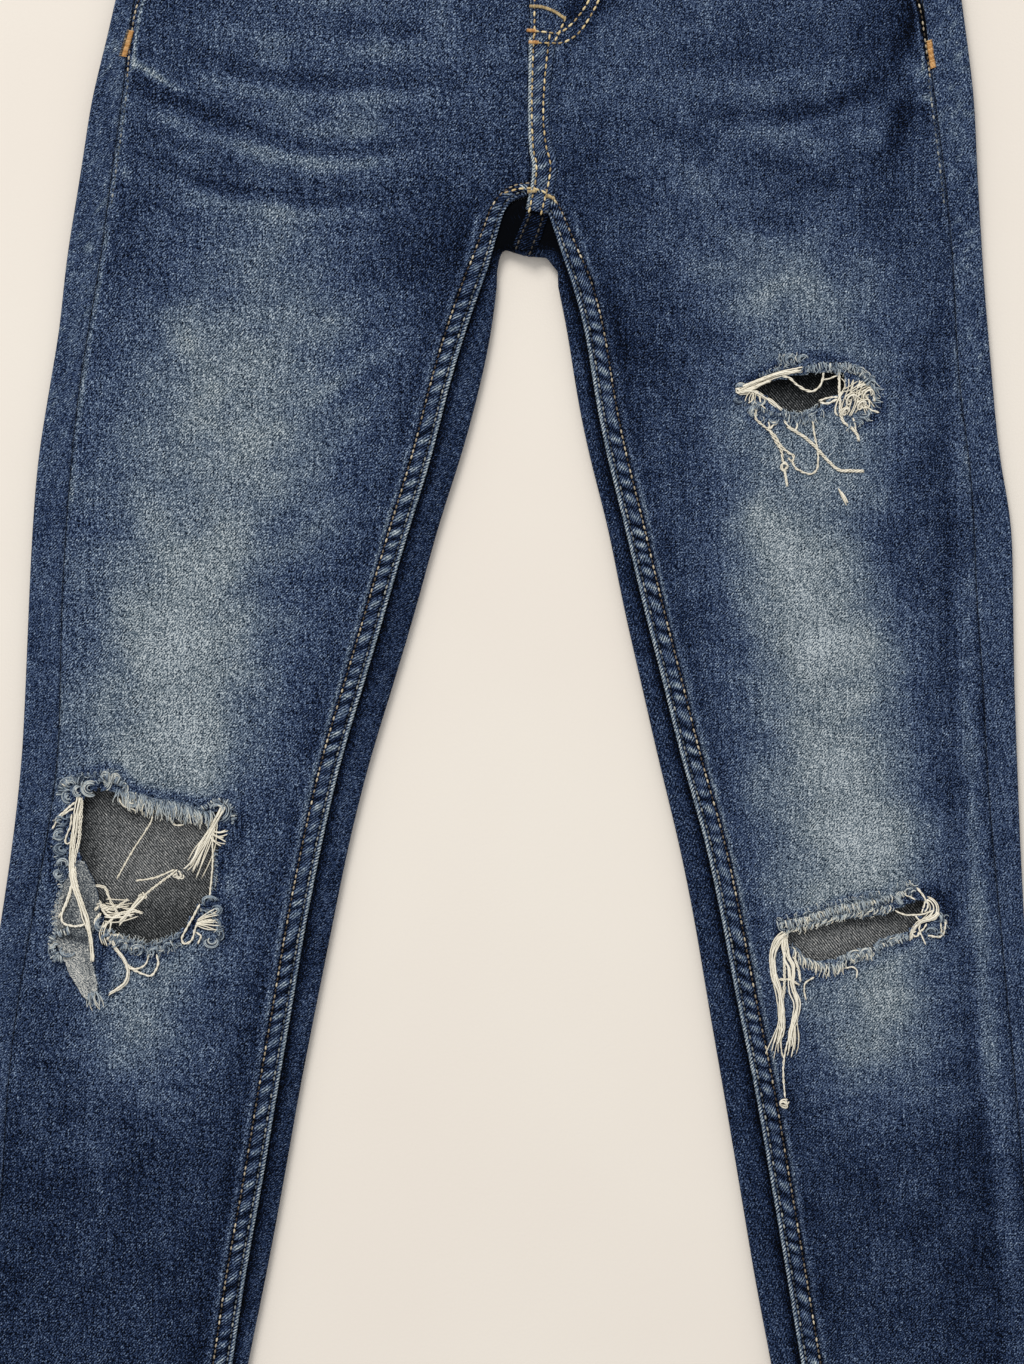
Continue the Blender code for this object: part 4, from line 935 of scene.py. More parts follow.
# Lays a strip along a route in mm; facing is 1 where the strip is on the left of its direction.
# Gives its rows of stitches.
def seamStrip(name, nodeName, route, facing, widths, shape, light, restsOn, rise=0.0, level=None):
    route = evenRoute(smoothRoute(route, 6), shape["rowStep"])
    sideways = sidewaysOf(route) * facing
    along = lengthsOf(route)
    width = np.interp(np.linspace(0, 1, len(route)), np.linspace(0, 1, len(widths)), widths)
    share = np.linspace(0, 1, shape["columns"])
    place = (share * shape["width"])[None]  # mm across the strip, were it as wide everywhere
    offset = share[None] * width[:, None]
    x = (route[:, 0:1] + sideways[:, 0:1] * offset) * mm
    y = (route[:, 1:2] + sideways[:, 1:2] * offset) * mm
    drift = fieldNoise(along * mm, along * 0, 21, 3.7)
    uneven = 0.8 + 0.7 * fieldNoise(along * mm, along * 0, 13, 8.8)
    phase = 2 * np.pi * (along / pucker["period"] + 0.75 * drift)
    lean = shape["lean"] * 2 * np.pi / pucker["period"] * offset
    wave = np.sin(phase[:, None] + lean) * uneven[:, None]
    first, last = shape["rows"]
    between = np.sin(np.pi * np.clip((place - first - 0.2) / (last - first - 0.4), 0, 1)) ** 0.6
    height = shape["crown"] * between + shape["roping"] * wave * between
    crest = np.where(wave > 0, np.maximum(wave, 0) ** 1.6, -np.maximum(-wave, 0) ** 1.2)
    # crests of the roping worn paler, its hollows painted darker as painted shade
    wash = light["base"] + light["roping"] * crest * between
    twist = np.sin(2 * np.pi * (along[:, None] + 0.8 * offset) / 1.75)
    worn = np.interp(y / mm, [-340, 150, 232, 246], light["worn"])
    wash += (light["ridge"] * worn + 0.40 * twist) * bell(place - 0.8, 0.85)
    for row in shape["rows"]:
        height -= shape["groove"] * bell(place - row, 0.7)
        # painted shade in the rows of stitches
        wash -= light["groove"] * bell(place - row, 1.0)
    edge = np.minimum(share, 1 - share) * shape["width"]
    height -= 0.45 * bell(edge, 0.6)[None]
    height += 0.12 * fieldNoise(x, y, 2.5, 4.2)
    wash += 0.16 * fieldNoise(x, y, 3.2, 6.1) + 0.10 * fieldNoise(along[:, None] * mm, y * 0, 60, 1.2)
    wash = wash + np.interp(y / mm, [-340, -150, 60, 240], light["climb"])
    base = levelAt(y) + onTop if level is None else np.full(y.shape, level)
    lifted = rise * (1 - smooth((along - 3) / 9))[:, None]  # only the start of the strip
    grid = np.stack([x, y, base + (height + lifted) * mm], axis=-1)
    clothShell(name, nodeName, "felled_seams", grid, -facing, seamFace, wash, 0.2,
               clothUv(grid, 0, -facing), restsOn=restsOn)
    lines = []
    for row in shape["rows"]:
        column = row / shape["width"] * (shape["columns"] - 1)
        low = int(column)
        line = lerp(grid[:, low], grid[:, low + 1], column - low)
        lines.append(line + np.array([0, 0, clothWall / 2 + 0.10 * mm]))
    return lines


stitchLines = {}
for name, leg in legs.items():
    heights = np.arange(leg.bottom / mm + 0.2, 219, 6.0)
    route = [(float(leg.inseamAt(y * mm)) / mm, y) for y in heights] + ends[name]
    stitchLines["inseam_" + name] = seamStrip(
        "inseam_" + name + "_felled", "inseam_" + name, route, -leg.side, [10.5] * 30 + [8.0, 6.0], felled,
        felledLight, ["front_" + name])
stitchLines["rise"] = seamStrip("front_rise_felled", "front_rise_seam", riseRoute, -1, riseWidths,
                                riseShape, riseLight, ["front_left"], rise=1.5)
stitchLines["back_rise"] = seamStrip("back_rise_felled", "back_rise_seam", backRiseRoute, -1,
                                     [11.5, 11.0, 10.0], backRiseShape, backRiseLight, ["back_left"],
                                     level=6.6 * mm)
print("seams made")


# The yokes: back panels carried on from the yoke seam to the waistband
def yokePiece(leg):
    rows = []
    side = float(waistSeam(leg.outseamAt(waist["side"]), "front")) - halfGap
    for share in np.linspace(0, 1, 16):
        sideY = lerp(yokeSeam["side"] + halfGap, side, share)
        centreY = lerp(yokeSeam["back"] + halfGap, waist["back"] - halfGap, share)
        row = outerHalf(leg, centreY, sideY, (backSeamAt(leg, sideY / mm), centreY))
        row[:, 1] = lerp(sideY, centreY, smooth(np.linspace(-0.1, 1, len(row))))
        rows.append(row)
    grid = np.array(rows)
    grid[..., 2] += 0.15 * mm * fieldNoise(grid[..., 0], grid[..., 1], 20, 3.3)
    wash = 0.22 + 0.12 * fieldNoise(grid[..., 0], grid[..., 1], 30, 5.5)
    clothShell("yoke_" + leg.name + "_denim", "yoke_" + leg.name, "denim_dark", grid, leg.side, faceBack,
               wash, 0.4, clothUv(grid, 20, leg.side, True))
    outside = grid + awayFrom(grid, leg.side) * (clothWall / 2 + 0.05 * mm)
    return [outside[1][4:-2], lerp(outside[1], outside[2], 0.9)[4:-2]]


stitchLines["yokes"] = [line for leg in legs.values() for line in yokePiece(leg)]

bandShape = dict(rows=15, step=2.5, wall=1.8 * mm, front=6.7, under=4.6, back=2.4, right=-173.5, left=207.0)


# One folded band: from the underlap round the right side, the back and the left side to the front
def waistband():
    under, front, back, wall = [bandShape[key] for key in ("under", "front", "back", "wall")]
    right = turned((bandShape["right"], 0), (-1, 0), back, front, 9)[::-1]
    left = turned((bandShape["left"], 0), (1, 0), back, front, 9)
    stations = [(28, under, 0), (-8, under, 0), (-26, front, 0), (-130, front, 0)]
    stations += [(x, z, 0.5) for x, _, z in right]
    stations += [(x, back, 1) for x in (-120, -50, waist["centre"] / mm, 80, 150)]
    stations += [(x, z, 0.5) for x, _, z in left]
    stations += [(x, front, 0) for x in (150, 90, 40, -8)]
    x, z, side = evenRoute(np.array(stations, dtype=float), bandShape["step"]).T
    x, z = x * mm, z * mm
    seam = np.where(side > 0.6, waistSeam(x, "back"), waist["side"])
    seam = softened(np.where(side < 0.4, waistSeam(x, "front"), seam), 2)
    share = np.linspace(0, 1, bandShape["rows"])[:, None]
    y = seam[None] + halfGap + share * (waist["height"] - 2 * halfGap)
    grid = np.stack([np.broadcast_to(x, y.shape), y, np.broadcast_to(z, y.shape)], axis=-1).copy()
    wave = fieldNoise(grid[..., 0], y, 45, 2.8)
    grid[..., 2] += 0.25 * mm * wave * np.where((z > 6 * mm) | (z < 3 * mm), 1, 0)[None]
    edge = np.minimum(share, 1 - share) * waist["height"] / mm
    wash = 0.24 + 0.30 * bell(edge, 1.5) + 0.10 * wave + 0.1 * fieldNoise(grid[..., 0], y, 6, 6.2)
    clothShell("waistband_denim", "waistband", "denim_faded", grid, -1, faceBack, wash, 0.3,
               clothUv(grid, 10), wall=wall)
    outside = grid + awayFrom(grid, -1) * (wall / 2 + 0.05 * mm)
    return [outside[1], outside[-2]]


stitchLines["waistband"] = waistband()

loopWidth = 10.0
loopPlaces = [
    ("front_right", -78.0, 1), ("front_left", 111.0, 1), ("back_right", -94.0, -1),
    ("back_centre", 16.5, -1), ("back_left", 127.0, -1),
]


# Belt loops: strips with both edges turned in, sewn at the top and below the waistband
def beltLoop(ending, across, facing):
    seam = float(waistSeam(across * mm, "front" if facing > 0 else "back")) / mm
    if facing > 0:
        path = [(seam - 7, 7.9), (seam - 2.5, 8.5), (seam + 20, 8.9), (seam + 39, 8.5)]
    else:
        path = [(seam - 7, 0.6), (seam + 16, 0.6), (seam + 39, 0.6)]
    route = evenRoute(smoothRoute(path, 6), 1.6)
    share = np.linspace(-1, 1, 9)
    x = np.broadcast_to(across + share * loopWidth / 2, (len(route), 9)) * mm
    y = np.broadcast_to(route[:, :1], x.shape) * mm
    z = (route[:, 1:] + 0.12 * facing * (1 - share ** 4)) * mm
    grid = np.stack([x, y, z], axis=-1)
    wash = 0.25 + 0.35 * share[None] ** 6 + 0.1 * fieldNoise(x, y, 4, 2.0)
    nodeName = "belt_loop_" + ending
    clothShell(nodeName + "_denim", nodeName, "denim_faded", grid, facing, faceBack, wash, 0.3,
               clothUv(grid, 4))
    lift = np.array([0, 0, facing * (clothWall / 2 + 0.05 * mm)])
    return [grid[:, 2] + lift, grid[:, 6] + lift]


stitchLines["loops"] = [line for place in loopPlaces for line in beltLoop(*place)]


# Denim that shows in the scoop of each front pocket
def pocketFacing(leg, reach=20.0):
    heights = np.append(np.arange(318.5, 452.5, 2.5), 461.5) * mm
    outer = leg.outseamAt(heights) - leg.side * halfGap
    inner = leg.pocketAt(heights) - leg.side * reach * mm
    x = lerp(inner[:, None], outer[:, None], np.linspace(0, 1, 14)[None])
    y = np.broadcast_to(heights[:, None], x.shape).copy()
    top = smooth((y - 0.42) / 0.04)
    y = np.minimum(y, lerp(y, waistSeam(x, "front") - 0.3 * mm, top))
    grid = np.stack([x, y, levelAt(y) - onTop + 0 * x], axis=-1)
    nodeName = "pocket_facing_" + leg.name
    clothShell(nodeName + "_denim", nodeName, "denim_dark", grid, leg.side, faceBack,
               0.12 + 0.08 * fieldNoise(x, y, 20, 4.9), 0.3, clothUv(grid, 7))


for leg in legs.values():
    pocketFacing(leg)


pocketShape = dict(columns=34, rows=34, stitches=(2.0, 8.0), base=54.0, mouth=60.0, side=-48, point=22,
                   top=68.0)
pocketPlaces = [("back_pocket_right", (-85, 340)), ("back_pocket_left", (113, 340))]


# Patch pockets, under the seat as the jeans lie
def backPocket(nodeName, place):
    base, mouth, side, point = [pocketShape[key] for key in ("base", "mouth", "side", "point")]
    share = np.linspace(-1, 1, pocketShape["columns"])[None]
    up = np.linspace(0, 1, pocketShape["rows"])[:, None]
    x = (place[0] + lerp(base, mouth, up) * share) * mm
    low = side - point * (1 - np.abs(share))
    y = (place[1] + lerp(low, pocketShape["top"], up)) * mm
    grid = np.stack([x, y, np.full(x.shape, 0.6 * mm)], axis=-1)
    edge = np.minimum(1 - np.abs(share), np.minimum(up, 1 - up))
    wash = 0.2 + 0.3 * bell(edge, 0.025) + 0.3 * np.exp(-(share ** 2 + (up - 0.5) ** 2) * 3)
    wash = wash + 0.08 * fieldNoise(x, y, 12, 3.0)
    clothShell(nodeName + "_denim", nodeName, "denim_dark", grid, -1, faceBack, wash, 0.4,
               clothUv(grid, 17))
    rows = []
    for inset in pocketShape["stitches"]:
        half, low, high, top = base - inset, side + 0.8 * inset, mouth - inset, 66
        route = smoothRoute((-high, top, -half, low, 0, low - point, half, low, high, top), 1)
        route = evenRoute(route, 2.0)
        level = np.full(len(route), 0.6 * mm - clothWall / 2 - 0.05 * mm)
        rows.append(np.column_stack([(route + place) * mm, level]))
    return rows


stitchLines["back_pockets"] = [row for place in pocketPlaces for row in backPocket(*place)]


# Fly facing and shield: plain plates of the frame's outline, cut finer and given their cloth
def innerPlate(nodeName):
    mesh = bmesh.new()
    mesh.from_mesh(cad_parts[nodeName].data)
    bmesh.ops.remove_doubles(mesh, verts=mesh.verts, dist=1e-6)
    for _ in range(6):
        long = [edge for edge in mesh.edges if edge.calc_length() > 5 * mm]
        if not long:
            break
        bmesh.ops.subdivide_edges(mesh, edges=long, cuts=1)
        bmesh.ops.triangulate(mesh, faces=[face for face in mesh.faces if len(face.verts) > 4])
    points = np.array([vertex.co[:] for vertex in mesh.verts])
    faces = [[vertex.index for vertex in face.verts] for face in mesh.faces]
    mesh.free()
    points[:, 2] += 0.06 * mm * fieldNoise(points[:, 0], points[:, 1], 9, 1.9)
    piece = pushMesh(nodeName + "_cloth", points, faces, [faceBack], None, points[:, :2],
                     {"wash": np.full(len(points), 0.15)})
    low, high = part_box(nodeName)
    width, length = round(high.x - low.x, 4), round(high.y - low.y, 4)
    keepPiece(piece, "denim_dark", [nodeName], (width, length, round(0.9 * width * length, 5)))


innerPlate("fly_facing")
innerPlate("fly_shield")
print("waist and pockets made")


# A Geometry Nodes tree: a shape, its sizes, a seed and a material go in, and a shape comes out
def newTree(name, shapeIn, sizes, finish, shapeOut):
    tree = bpy.data.node_groups.new(name, "GeometryNodeTree")
    sockets = [(shapeIn, "INPUT", "Geometry"), *((size, "INPUT", "Float") for size in sizes),
               ("Seed", "INPUT", "Int"), (finish, "INPUT", "Material"), (shapeOut, "OUTPUT", "Geometry")]
    for key, end, kind in sockets:
        socket = tree.interface.new_socket(key, in_out=end, socket_type="NodeSocket" + kind)
        if key in sizes:
            socket.default_value = sizes[key]
    add = partial(addNode, tree)
    return tree, add, add("NodeGroupInput").outputs


# The end of each tree: the instances turned a little at random, real, smooth and with their material
def endTree(add, placed, turn, material, shaded=None):
    result = add("GeometryNodeRotateInstances", {"Instances": placed, "Rotation": turn})
    if shaded:
        tinted = {"Geometry": result, "Name": "tint", "Value": shaded}
        result = add("GeometryNodeStoreNamedAttribute", tinted, data_type="FLOAT", domain="INSTANCE")
    result = add("GeometryNodeRealizeInstances", {"Geometry": result})
    result = add("GeometryNodeSetShadeSmooth", {"Geometry": result})
    result = add("GeometryNodeSetMaterial", {"Geometry": result, "Material": material})
    add("NodeGroupOutput", {0: result})


# Stitches along paths: a flattened bead at each pitch, turned along the path, each a little uneven
def stitchTree():
    sizes = {"Pitch": 0.0032, "Length": 0.0022, "Width": 0.0007, "Unevenness": 0.12}
    tree, add, given = newTree("topStitching", "Paths", sizes, "Thread", "Stitches")
    seed, halved = given["Seed"], {"operation": "MULTIPLY"}
    curve = add("GeometryNodeMeshToCurve", {"Mesh": given["Paths"]})
    points = add("GeometryNodeCurveToPoints", {"Curve": curve, "Length": given["Pitch"]}, mode="LENGTH")
    heading = add("FunctionNodeAlignRotationToVector", {"Vector": points.outputs["Tangent"]}, axis="X")
    lean = {"Seed": seed, "Min": (-0.1, -0.05, -0.12), "Max": (0.1, 0.05, 0.12)}
    tilt = add("FunctionNodeRandomValue", lean, data_type="FLOAT_VECTOR")
    half = add("ShaderNodeMath", {0: given["Length"], 1: 0.5}, **halved)
    radius = add("ShaderNodeMath", {0: given["Width"], 1: 0.5}, **halved)
    size = add("ShaderNodeCombineXYZ", {0: half, 1: radius, 2: radius})
    least = add("ShaderNodeMath", {0: 1.0, 1: given["Unevenness"]}, operation="SUBTRACT")
    most = add("ShaderNodeMath", {0: 1.0, 1: given["Unevenness"]}, operation="ADD")
    spread = add("FunctionNodeRandomValue", {"Seed": seed, 2: least, 3: most}, data_type="FLOAT")
    scale = add("ShaderNodeVectorMath", {0: size, "Scale": spread.outputs[1]}, operation="SCALE")
    bead = add("GeometryNodeMeshUVSphere", {"Segments": 6, "Rings": 4, "Radius": 1.0})
    placed = add("GeometryNodeInstanceOnPoints", {
        "Points": points, "Instance": bead, "Rotation": heading, "Scale": scale,
    })
    shade = add("FunctionNodeRandomValue", {"Seed": seed}, data_type="FLOAT")
    endTree(add, placed, tilt, given["Thread"], shade.outputs[1])
    return tree


# Frayed yarn ends along an edge: bent tapering threads, each aimed and sized by its own point
def frayTree():
    sizes = {"Width": 0.0004, "Bend": 0.0018, "Curl": 0.0012}
    tree, add, given = newTree("frayedEdge", "Roots", sizes, "Yarn", "Fringe")
    times, sine = {"operation": "MULTIPLY"}, {"operation": "SINE"}
    line = add("GeometryNodeCurvePrimitiveLine", {"Start": (0, 0, 0), "End": (1, 0, 0)})
    fine = add("GeometryNodeResampleCurve", {"Curve": line, "Count": 7}, mode="COUNT")
    share = add("GeometryNodeSplineParameter")
    curl = add("ShaderNodeMath", {0: add("ShaderNodeMath", {0: share, 1: 5.2}, **times)}, **sine)
    curled = add("ShaderNodeMath", {0: curl, 1: share}, **times)
    arched = add("ShaderNodeMath", {0: add("ShaderNodeMath", {0: share, 1: 2.6}, **times)}, **sine)
    side = add("ShaderNodeMath", {0: curled, 1: given["Curl"]}, **times)
    rise = add("ShaderNodeMath", {0: arched, 1: given["Bend"]}, **times)
    offset = add("ShaderNodeCombineXYZ", {1: side, 2: rise})
    bent = add("GeometryNodeSetPosition", {"Geometry": fine, "Offset": offset})
    taper = add("ShaderNodeMapRange", {0: share, 1: 0.0, 2: 1.0, 3: 1.0, 4: 0.45})
    radius = add("ShaderNodeMath", {0: given["Width"], 1: 0.5}, **times)
    tapered = add("ShaderNodeMath", {0: taper, 1: radius}, **times)
    ring = add("GeometryNodeCurvePrimitiveCircle", {"Resolution": 4, "Radius": 1.0})
    marked = add("GeometryNodeStoreNamedAttribute", {"Geometry": bent, "Name": "along", "Value": share},
                 data_type="FLOAT", domain="POINT")
    thread = add("GeometryNodeCurveToMesh", {"Curve": marked, "Profile Curve": ring, "Fill Caps": True,
                                             "Scale": tapered})
    aim = add("GeometryNodeInputNamedAttribute", {"Name": "aim"}, data_type="FLOAT_VECTOR")
    reach = add("GeometryNodeInputNamedAttribute", {"Name": "reach"}, data_type="FLOAT")
    heading = add("FunctionNodeAlignRotationToVector", {"Vector": aim}, axis="X")
    size = add("ShaderNodeCombineXYZ", {0: reach, 1: 1.0, 2: 1.0})
    dots = add("GeometryNodeMeshToPoints", {"Mesh": given["Roots"]})
    placed = add("GeometryNodeInstanceOnPoints", {
        "Points": dots, "Instance": thread, "Rotation": heading, "Scale": size,
    })
    turns = {"Seed": given["Seed"], "Min": (-1.9, -0.12, -0.3), "Max": (1.9, 0.12, 0.3)}
    roll = add("FunctionNodeRandomValue", turns, data_type="FLOAT_VECTOR")
    endTree(add, placed, roll, given["Yarn"])
    return tree


# Runs a tree on a mesh, keeps the result as a plain mesh and removes the modifier
def bakeTree(name, mesh, tree, values):
    source = addPiece(name, mesh)
    modifier = source.modifiers.new("nodes", "NODES")
    modifier.node_group = tree
    for socket in tree.interface.items_tree:
        if socket.in_out == "INPUT" and socket.name in values:
            modifier[socket.identifier] = values[socket.name]
    bpy.context.view_layer.update()
    evaluated = source.evaluated_get(bpy.context.evaluated_depsgraph_get())
    baked = bpy.data.meshes.new_from_object(evaluated)
    baked.name = name
    source.modifiers.remove(modifier)
    source.data = baked
    bpy.data.meshes.remove(mesh)
    if baked.materials and baked.materials[0] is None:
        baked.materials.pop(index=0)
    return source


topStitching = stitchTree()
frayedEdge = frayTree()
fine = {"Pitch": 0.0029, "Length": 0.0022, "Width": 0.00095, "Unevenness": 0.15}
bold = {"Pitch": 0.0036, "Length": 0.0030, "Width": 0.00110, "Unevenness": 0.12}


def stitchRows(ending, lines, sizes, seed, thread, slot="felled_seams"):
    name = "stitching_" + ending
    points, edges = [], []
    for line in lines:
        edges += [(len(points) + i, len(points) + i + 1) for i in range(len(line) - 1)]
        points += [tuple(point) for point in line]
    mesh = bpy.data.meshes.new(name)
    mesh.from_pydata(points, edges, [])
    keepPiece(bakeTree(name, mesh, topStitching, dict(sizes, Seed=seed, Thread=thread)), slot)


# Height of a front's face at places in mm
def onFront(leg, places, lift=0.0):
    x, y = np.array(places, dtype=float).T * mm
    z = levelAt(y) + frontRelief(leg, x, y) + clothWall / 2 + lift * mm
    return np.stack([x, y, z], axis=1)


# A row that keeps its distance from the outer edge of a front
def besideEdge(leg, distance, low, high, lift=0.1):
    heights = np.arange(low, high, 2.0)
    across = leg.pocketAt(heights * mm) / mm - leg.side * distance
    return onFront(leg, np.stack([across, heights], axis=1), lift)


# The hem's row, right across a front
def hemRow(leg, height=10.0):
    low = leg.bottom / mm + height
    share = np.linspace(0.01, 0.99, 60)
    across = lerp(float(leg.inseamAt(low * mm)) / mm, float(leg.pocketAt(low * mm)) / mm, share)
    return onFront(leg, np.stack([across, share * 0 + low], axis=1), 0.1)


flyRows = [
    (11.2, 323, 11.2, 341, 11.2, 380, 11.2, 420, 11.2, 451), (26.4, 331, 24.4, 326, 22, 321),
    (8.8, 325.3, 15, 324.7, 22.8, 324, 26.8, 326, 32.4, 331.4, 38.7, 341, 41.8, 352, 43.5, 380, 44, 451),
    (10.1, 319, 18, 318.7, 23.6, 319, 29.2, 321, 35.5, 326.7, 43.5, 341, 47, 355, 48.5, 380, 48.9, 451),
]
crossing = (-2.8, 244.2, 3, 245.8, 9.3, 246.2, 15, 244.8, 19.5, 241.9, 23.8, 237.4)
tab = (8.4, 237.7, 12.6, 236.3, 17.2, 234.6)


# Rows of the fly and crotch, lifted where they pass over the front rise seam
def overRise(row, lift):
    route = evenRoute(smoothRoute(row, 8), 1.5)
    line = onFront(legs["left"], route, 0.15)
    line[:, 2] += lift * mm * smooth((23.5 - route[:, 0]) / 3) * smooth((324.5 - route[:, 1]) / 2.5)
    return line


for name in legs:
    outerRow, innerRow = stitchLines["inseam_" + name]
    stitchRows("inseam_" + name + "_edge", [outerRow], fine, 11, greyThread)
    stitchRows("inseam_" + name + "_panel", [innerRow], fine, 12, brownThread)
stitchRows("rise", stitchLines["rise"], bold, 21, tanThread)
stitchRows("back_rise", stitchLines["back_rise"], fine, 22, shadedSeamThread)
stitchRows("fly", [overRise(row, 1.8) for row in flyRows], bold, 23, tanThread, "denim_faded")
stitchRows("crotch", [overRise(crossing, 2.9)], bold, 24, tanThread)
stitchRows("tab", [overRise(tab, 2.7)], fine, 25, greyThread)
bothLegs = legs.values()
stitchRows("hems", [hemRow(leg) for leg in bothLegs], bold, 31, tanThread, "denim_faded")
mouths = [besideEdge(leg, 1.4, 303, 452) for leg in bothLegs]
outseams = [besideEdge(leg, 2.0, 240, 302) for leg in bothLegs]
stitchRows("pockets", mouths, fine, 32, brownThread, "denim_faded")
stitchRows("outseams", outseams, fine, 33, greyThread, "denim_faded")
for seed, (ending, sizes, slot) in enumerate([
    ("waistband", bold, "denim_faded"), ("loops", fine, "denim_faded"), ("yokes", bold, "denim_dark"),
    ("back_pockets", bold, "denim_dark"),
], 34):
    stitchRows(ending, stitchLines[ending], sizes, seed, tanThread, slot)
print("stitching made")


# A tube of a few sides along each strand; strands are points in metres, radius in mm and tint.
# The flanks of each tube are painted darker than its crown, as painted shade; shade is how much darker.
def strandMesh(name, strands, material, slot, nodes=(), sides=5, shade=0.7):
    points, faces, tints = [], [], []
    circle = np.pi / 2 + np.linspace(0, 2 * np.pi, sides, endpoint=False)
    flankShade = shade * (np.sin(circle) < 0.9)
    for route, radius, tint in strands:
        heading = np.gradient(route, axis=0)
        heading /= np.maximum(np.linalg.norm(heading, axis=1, keepdims=True), 1e-12)
        side = np.cross(heading, np.array([0.13, 0.07, 1.0]))  # any way but along the thread
        side /= np.maximum(np.linalg.norm(side, axis=1, keepdims=True), 1e-12)
        up = np.cross(side, heading)
        count = np.arange(len(route))
        taper = np.clip(np.minimum(count, count[::-1]) / 1.5 + 0.35, 0, 1)
        size = (radius * mm * taper)[:, None, None]
        rings = route[:, None] + size * (np.cos(circle)[None, :, None] * side[:, None]
                                         + np.sin(circle)[None, :, None] * up[:, None])
        start = len(points)
        points += rings.reshape(-1, 3).tolist()
        tints += (tint - np.tile(flankShade, len(route))).tolist()
        for ring in range(start, len(points) - sides, sides):
            for j in range(sides):
                a, b = ring + j, ring + (j + 1) % sides
                faces.append((b, a, a + sides, b + sides))
        faces.append(tuple(range(start, start + sides)))
        faces.append(tuple(range(len(points) - 1, len(points) - 1 - sides, -1)))
    keepPiece(pushMesh(name, points, faces, [material], attributes={"tint": tints}), slot, nodes)


# Bars of close zigzag, where a seam takes the strain: thread, width and route
bars = [
    (orangeThread, 3.0, -190.2, 325, -192, 319, -193.8, 312.5),
    (brownThread, 1.4, -191.6, 325.5, -193.6, 319, -195.6, 312.5),
    (orangeThread, 2.8, 208.3, 320.2, 209.2, 313.5, 210.3, 306.8),
    (tanThread, 1.2, 9, 337.4, 15, 337, 21, 334.8, 26.4, 331.2),
    (orangeThread, 1.5, 7.6, 325.4, 11.8, 325.1), (orangeThread, 1.4, 8.6, 319.2, 13, 319),
    (tanThread, 1.5, 8, 244.6, 12, 244.9), (tanThread, 1.5, 17, 242.8, 21, 241.2),
]
barShape = dict(pitch=0.62, radius=0.26, lift=0.55)


def bartack(route, width, seed):
    rng = random.Random(seed)
    line = evenRoute(smoothRoute(route, 6), barShape["pitch"])
    across = np.linspace(-0.5, 0.5, 5)
    strands = []
    for (x, y), (a, b) in zip(line, sidewaysOf(line)):
        reach = width * rng.uniform(0.9, 1.1)
        places = np.array([x, y]) + across[:, None] * (np.array([a, b]) * reach + (0.12, 0.5))
        points = onFront(legs["left" if x > 0 else "right"], places, barShape["lift"])
        points[:, 2] += 0.35 * mm * (1 - (2 * across) ** 2)
        overSeam = 2.3 if y < 250 else 1.7 if 0 < x < 20 and y < 323 else 0  # over the rise seam
        points[:, 2] += overSeam * mm
        strands.append((points, barShape["radius"], rng.uniform(0.25, 0.85)))
    return strands


for thread in (orangeThread, brownThread, tanThread):
    strands = []
    for seed, (used, width, *route) in enumerate(bars):
        if used == thread:
            strands += bartack(route, width, seed)
    strandMesh("bartacks_" + thread.name.split()[-1], strands, thread, "felled_seams", shade=0.3)
print("bartacks made")


# Level in mm that a loose thread lies at: on the cloth, or sagging a little where it crosses a rip
def restingLevel(places):
    x, y = np.asarray(places, dtype=float).reshape(-1, 2).T * mm
    level = levelAt(y) / mm + 0.6 + 0.45
    for routes in ripRoutes.values():
        for route in routes:
            near = around(route, x, y, 50)
            level[near] -= 0.5 * insideOf(x[near], y[near], route)
    onFlap = smooth((-205 - x / mm) / 3) * smooth((x / mm + 231) / 3) * smooth((-y / mm - 90) / 8)
    return level + 1.3 * onFlap * smooth((y / mm + 168) / 6)


# Plies of a loose bundle lie side by side and drift across each other; a thread of two or three is twisted
def plies(route, count, spread, radius, seed, pale=0.92):
    rng = random.Random(seed)
    line = evenRoute(smoothRoute(route, 6), 0.9)
    sideways = sidewaysOf(line)
    along = np.linspace(0, 1, len(line))
    length = np.arange(len(line)) * 0.9
    twist = rng.uniform(0.9, 1.3)
    made = []
    for i in range(count):
        seedA, seedB, phase = rng.uniform(0, 99), rng.uniform(0, 99), rng.uniform(0, 6.28)
        if count < 4:
            turn = 2 * np.pi * i / count + twist * length
            offset, rise = spread * np.sin(turn), 0.3 * (1 + np.cos(turn))
        else:
            lane = 2 * i / (count - 1) - 1
            offset = spread * (lane * lerp(1.0, 0.6, along) + 0.7 * lineNoise(length * 0.09, seedA, seedB))
            rise = 0.35 * (1 + np.sin(phase + length * 0.13)) + 0.35 * (1 - lane * lane)
        keepTo = len(line) if count < 4 else max(6, int(len(line) * rng.uniform(0.86, 1.0)))
        place = line + sideways * (offset + 0.28 * lineNoise(length * 0.55, seedB, seedA))[:, None]
        points = np.column_stack([place, restingLevel(place) + rise])[:keepTo] * mm
        made.append((points, radius * rng.uniform(0.85, 1.15), rng.uniform(pale - 0.18, pale + 0.22)))
    return made


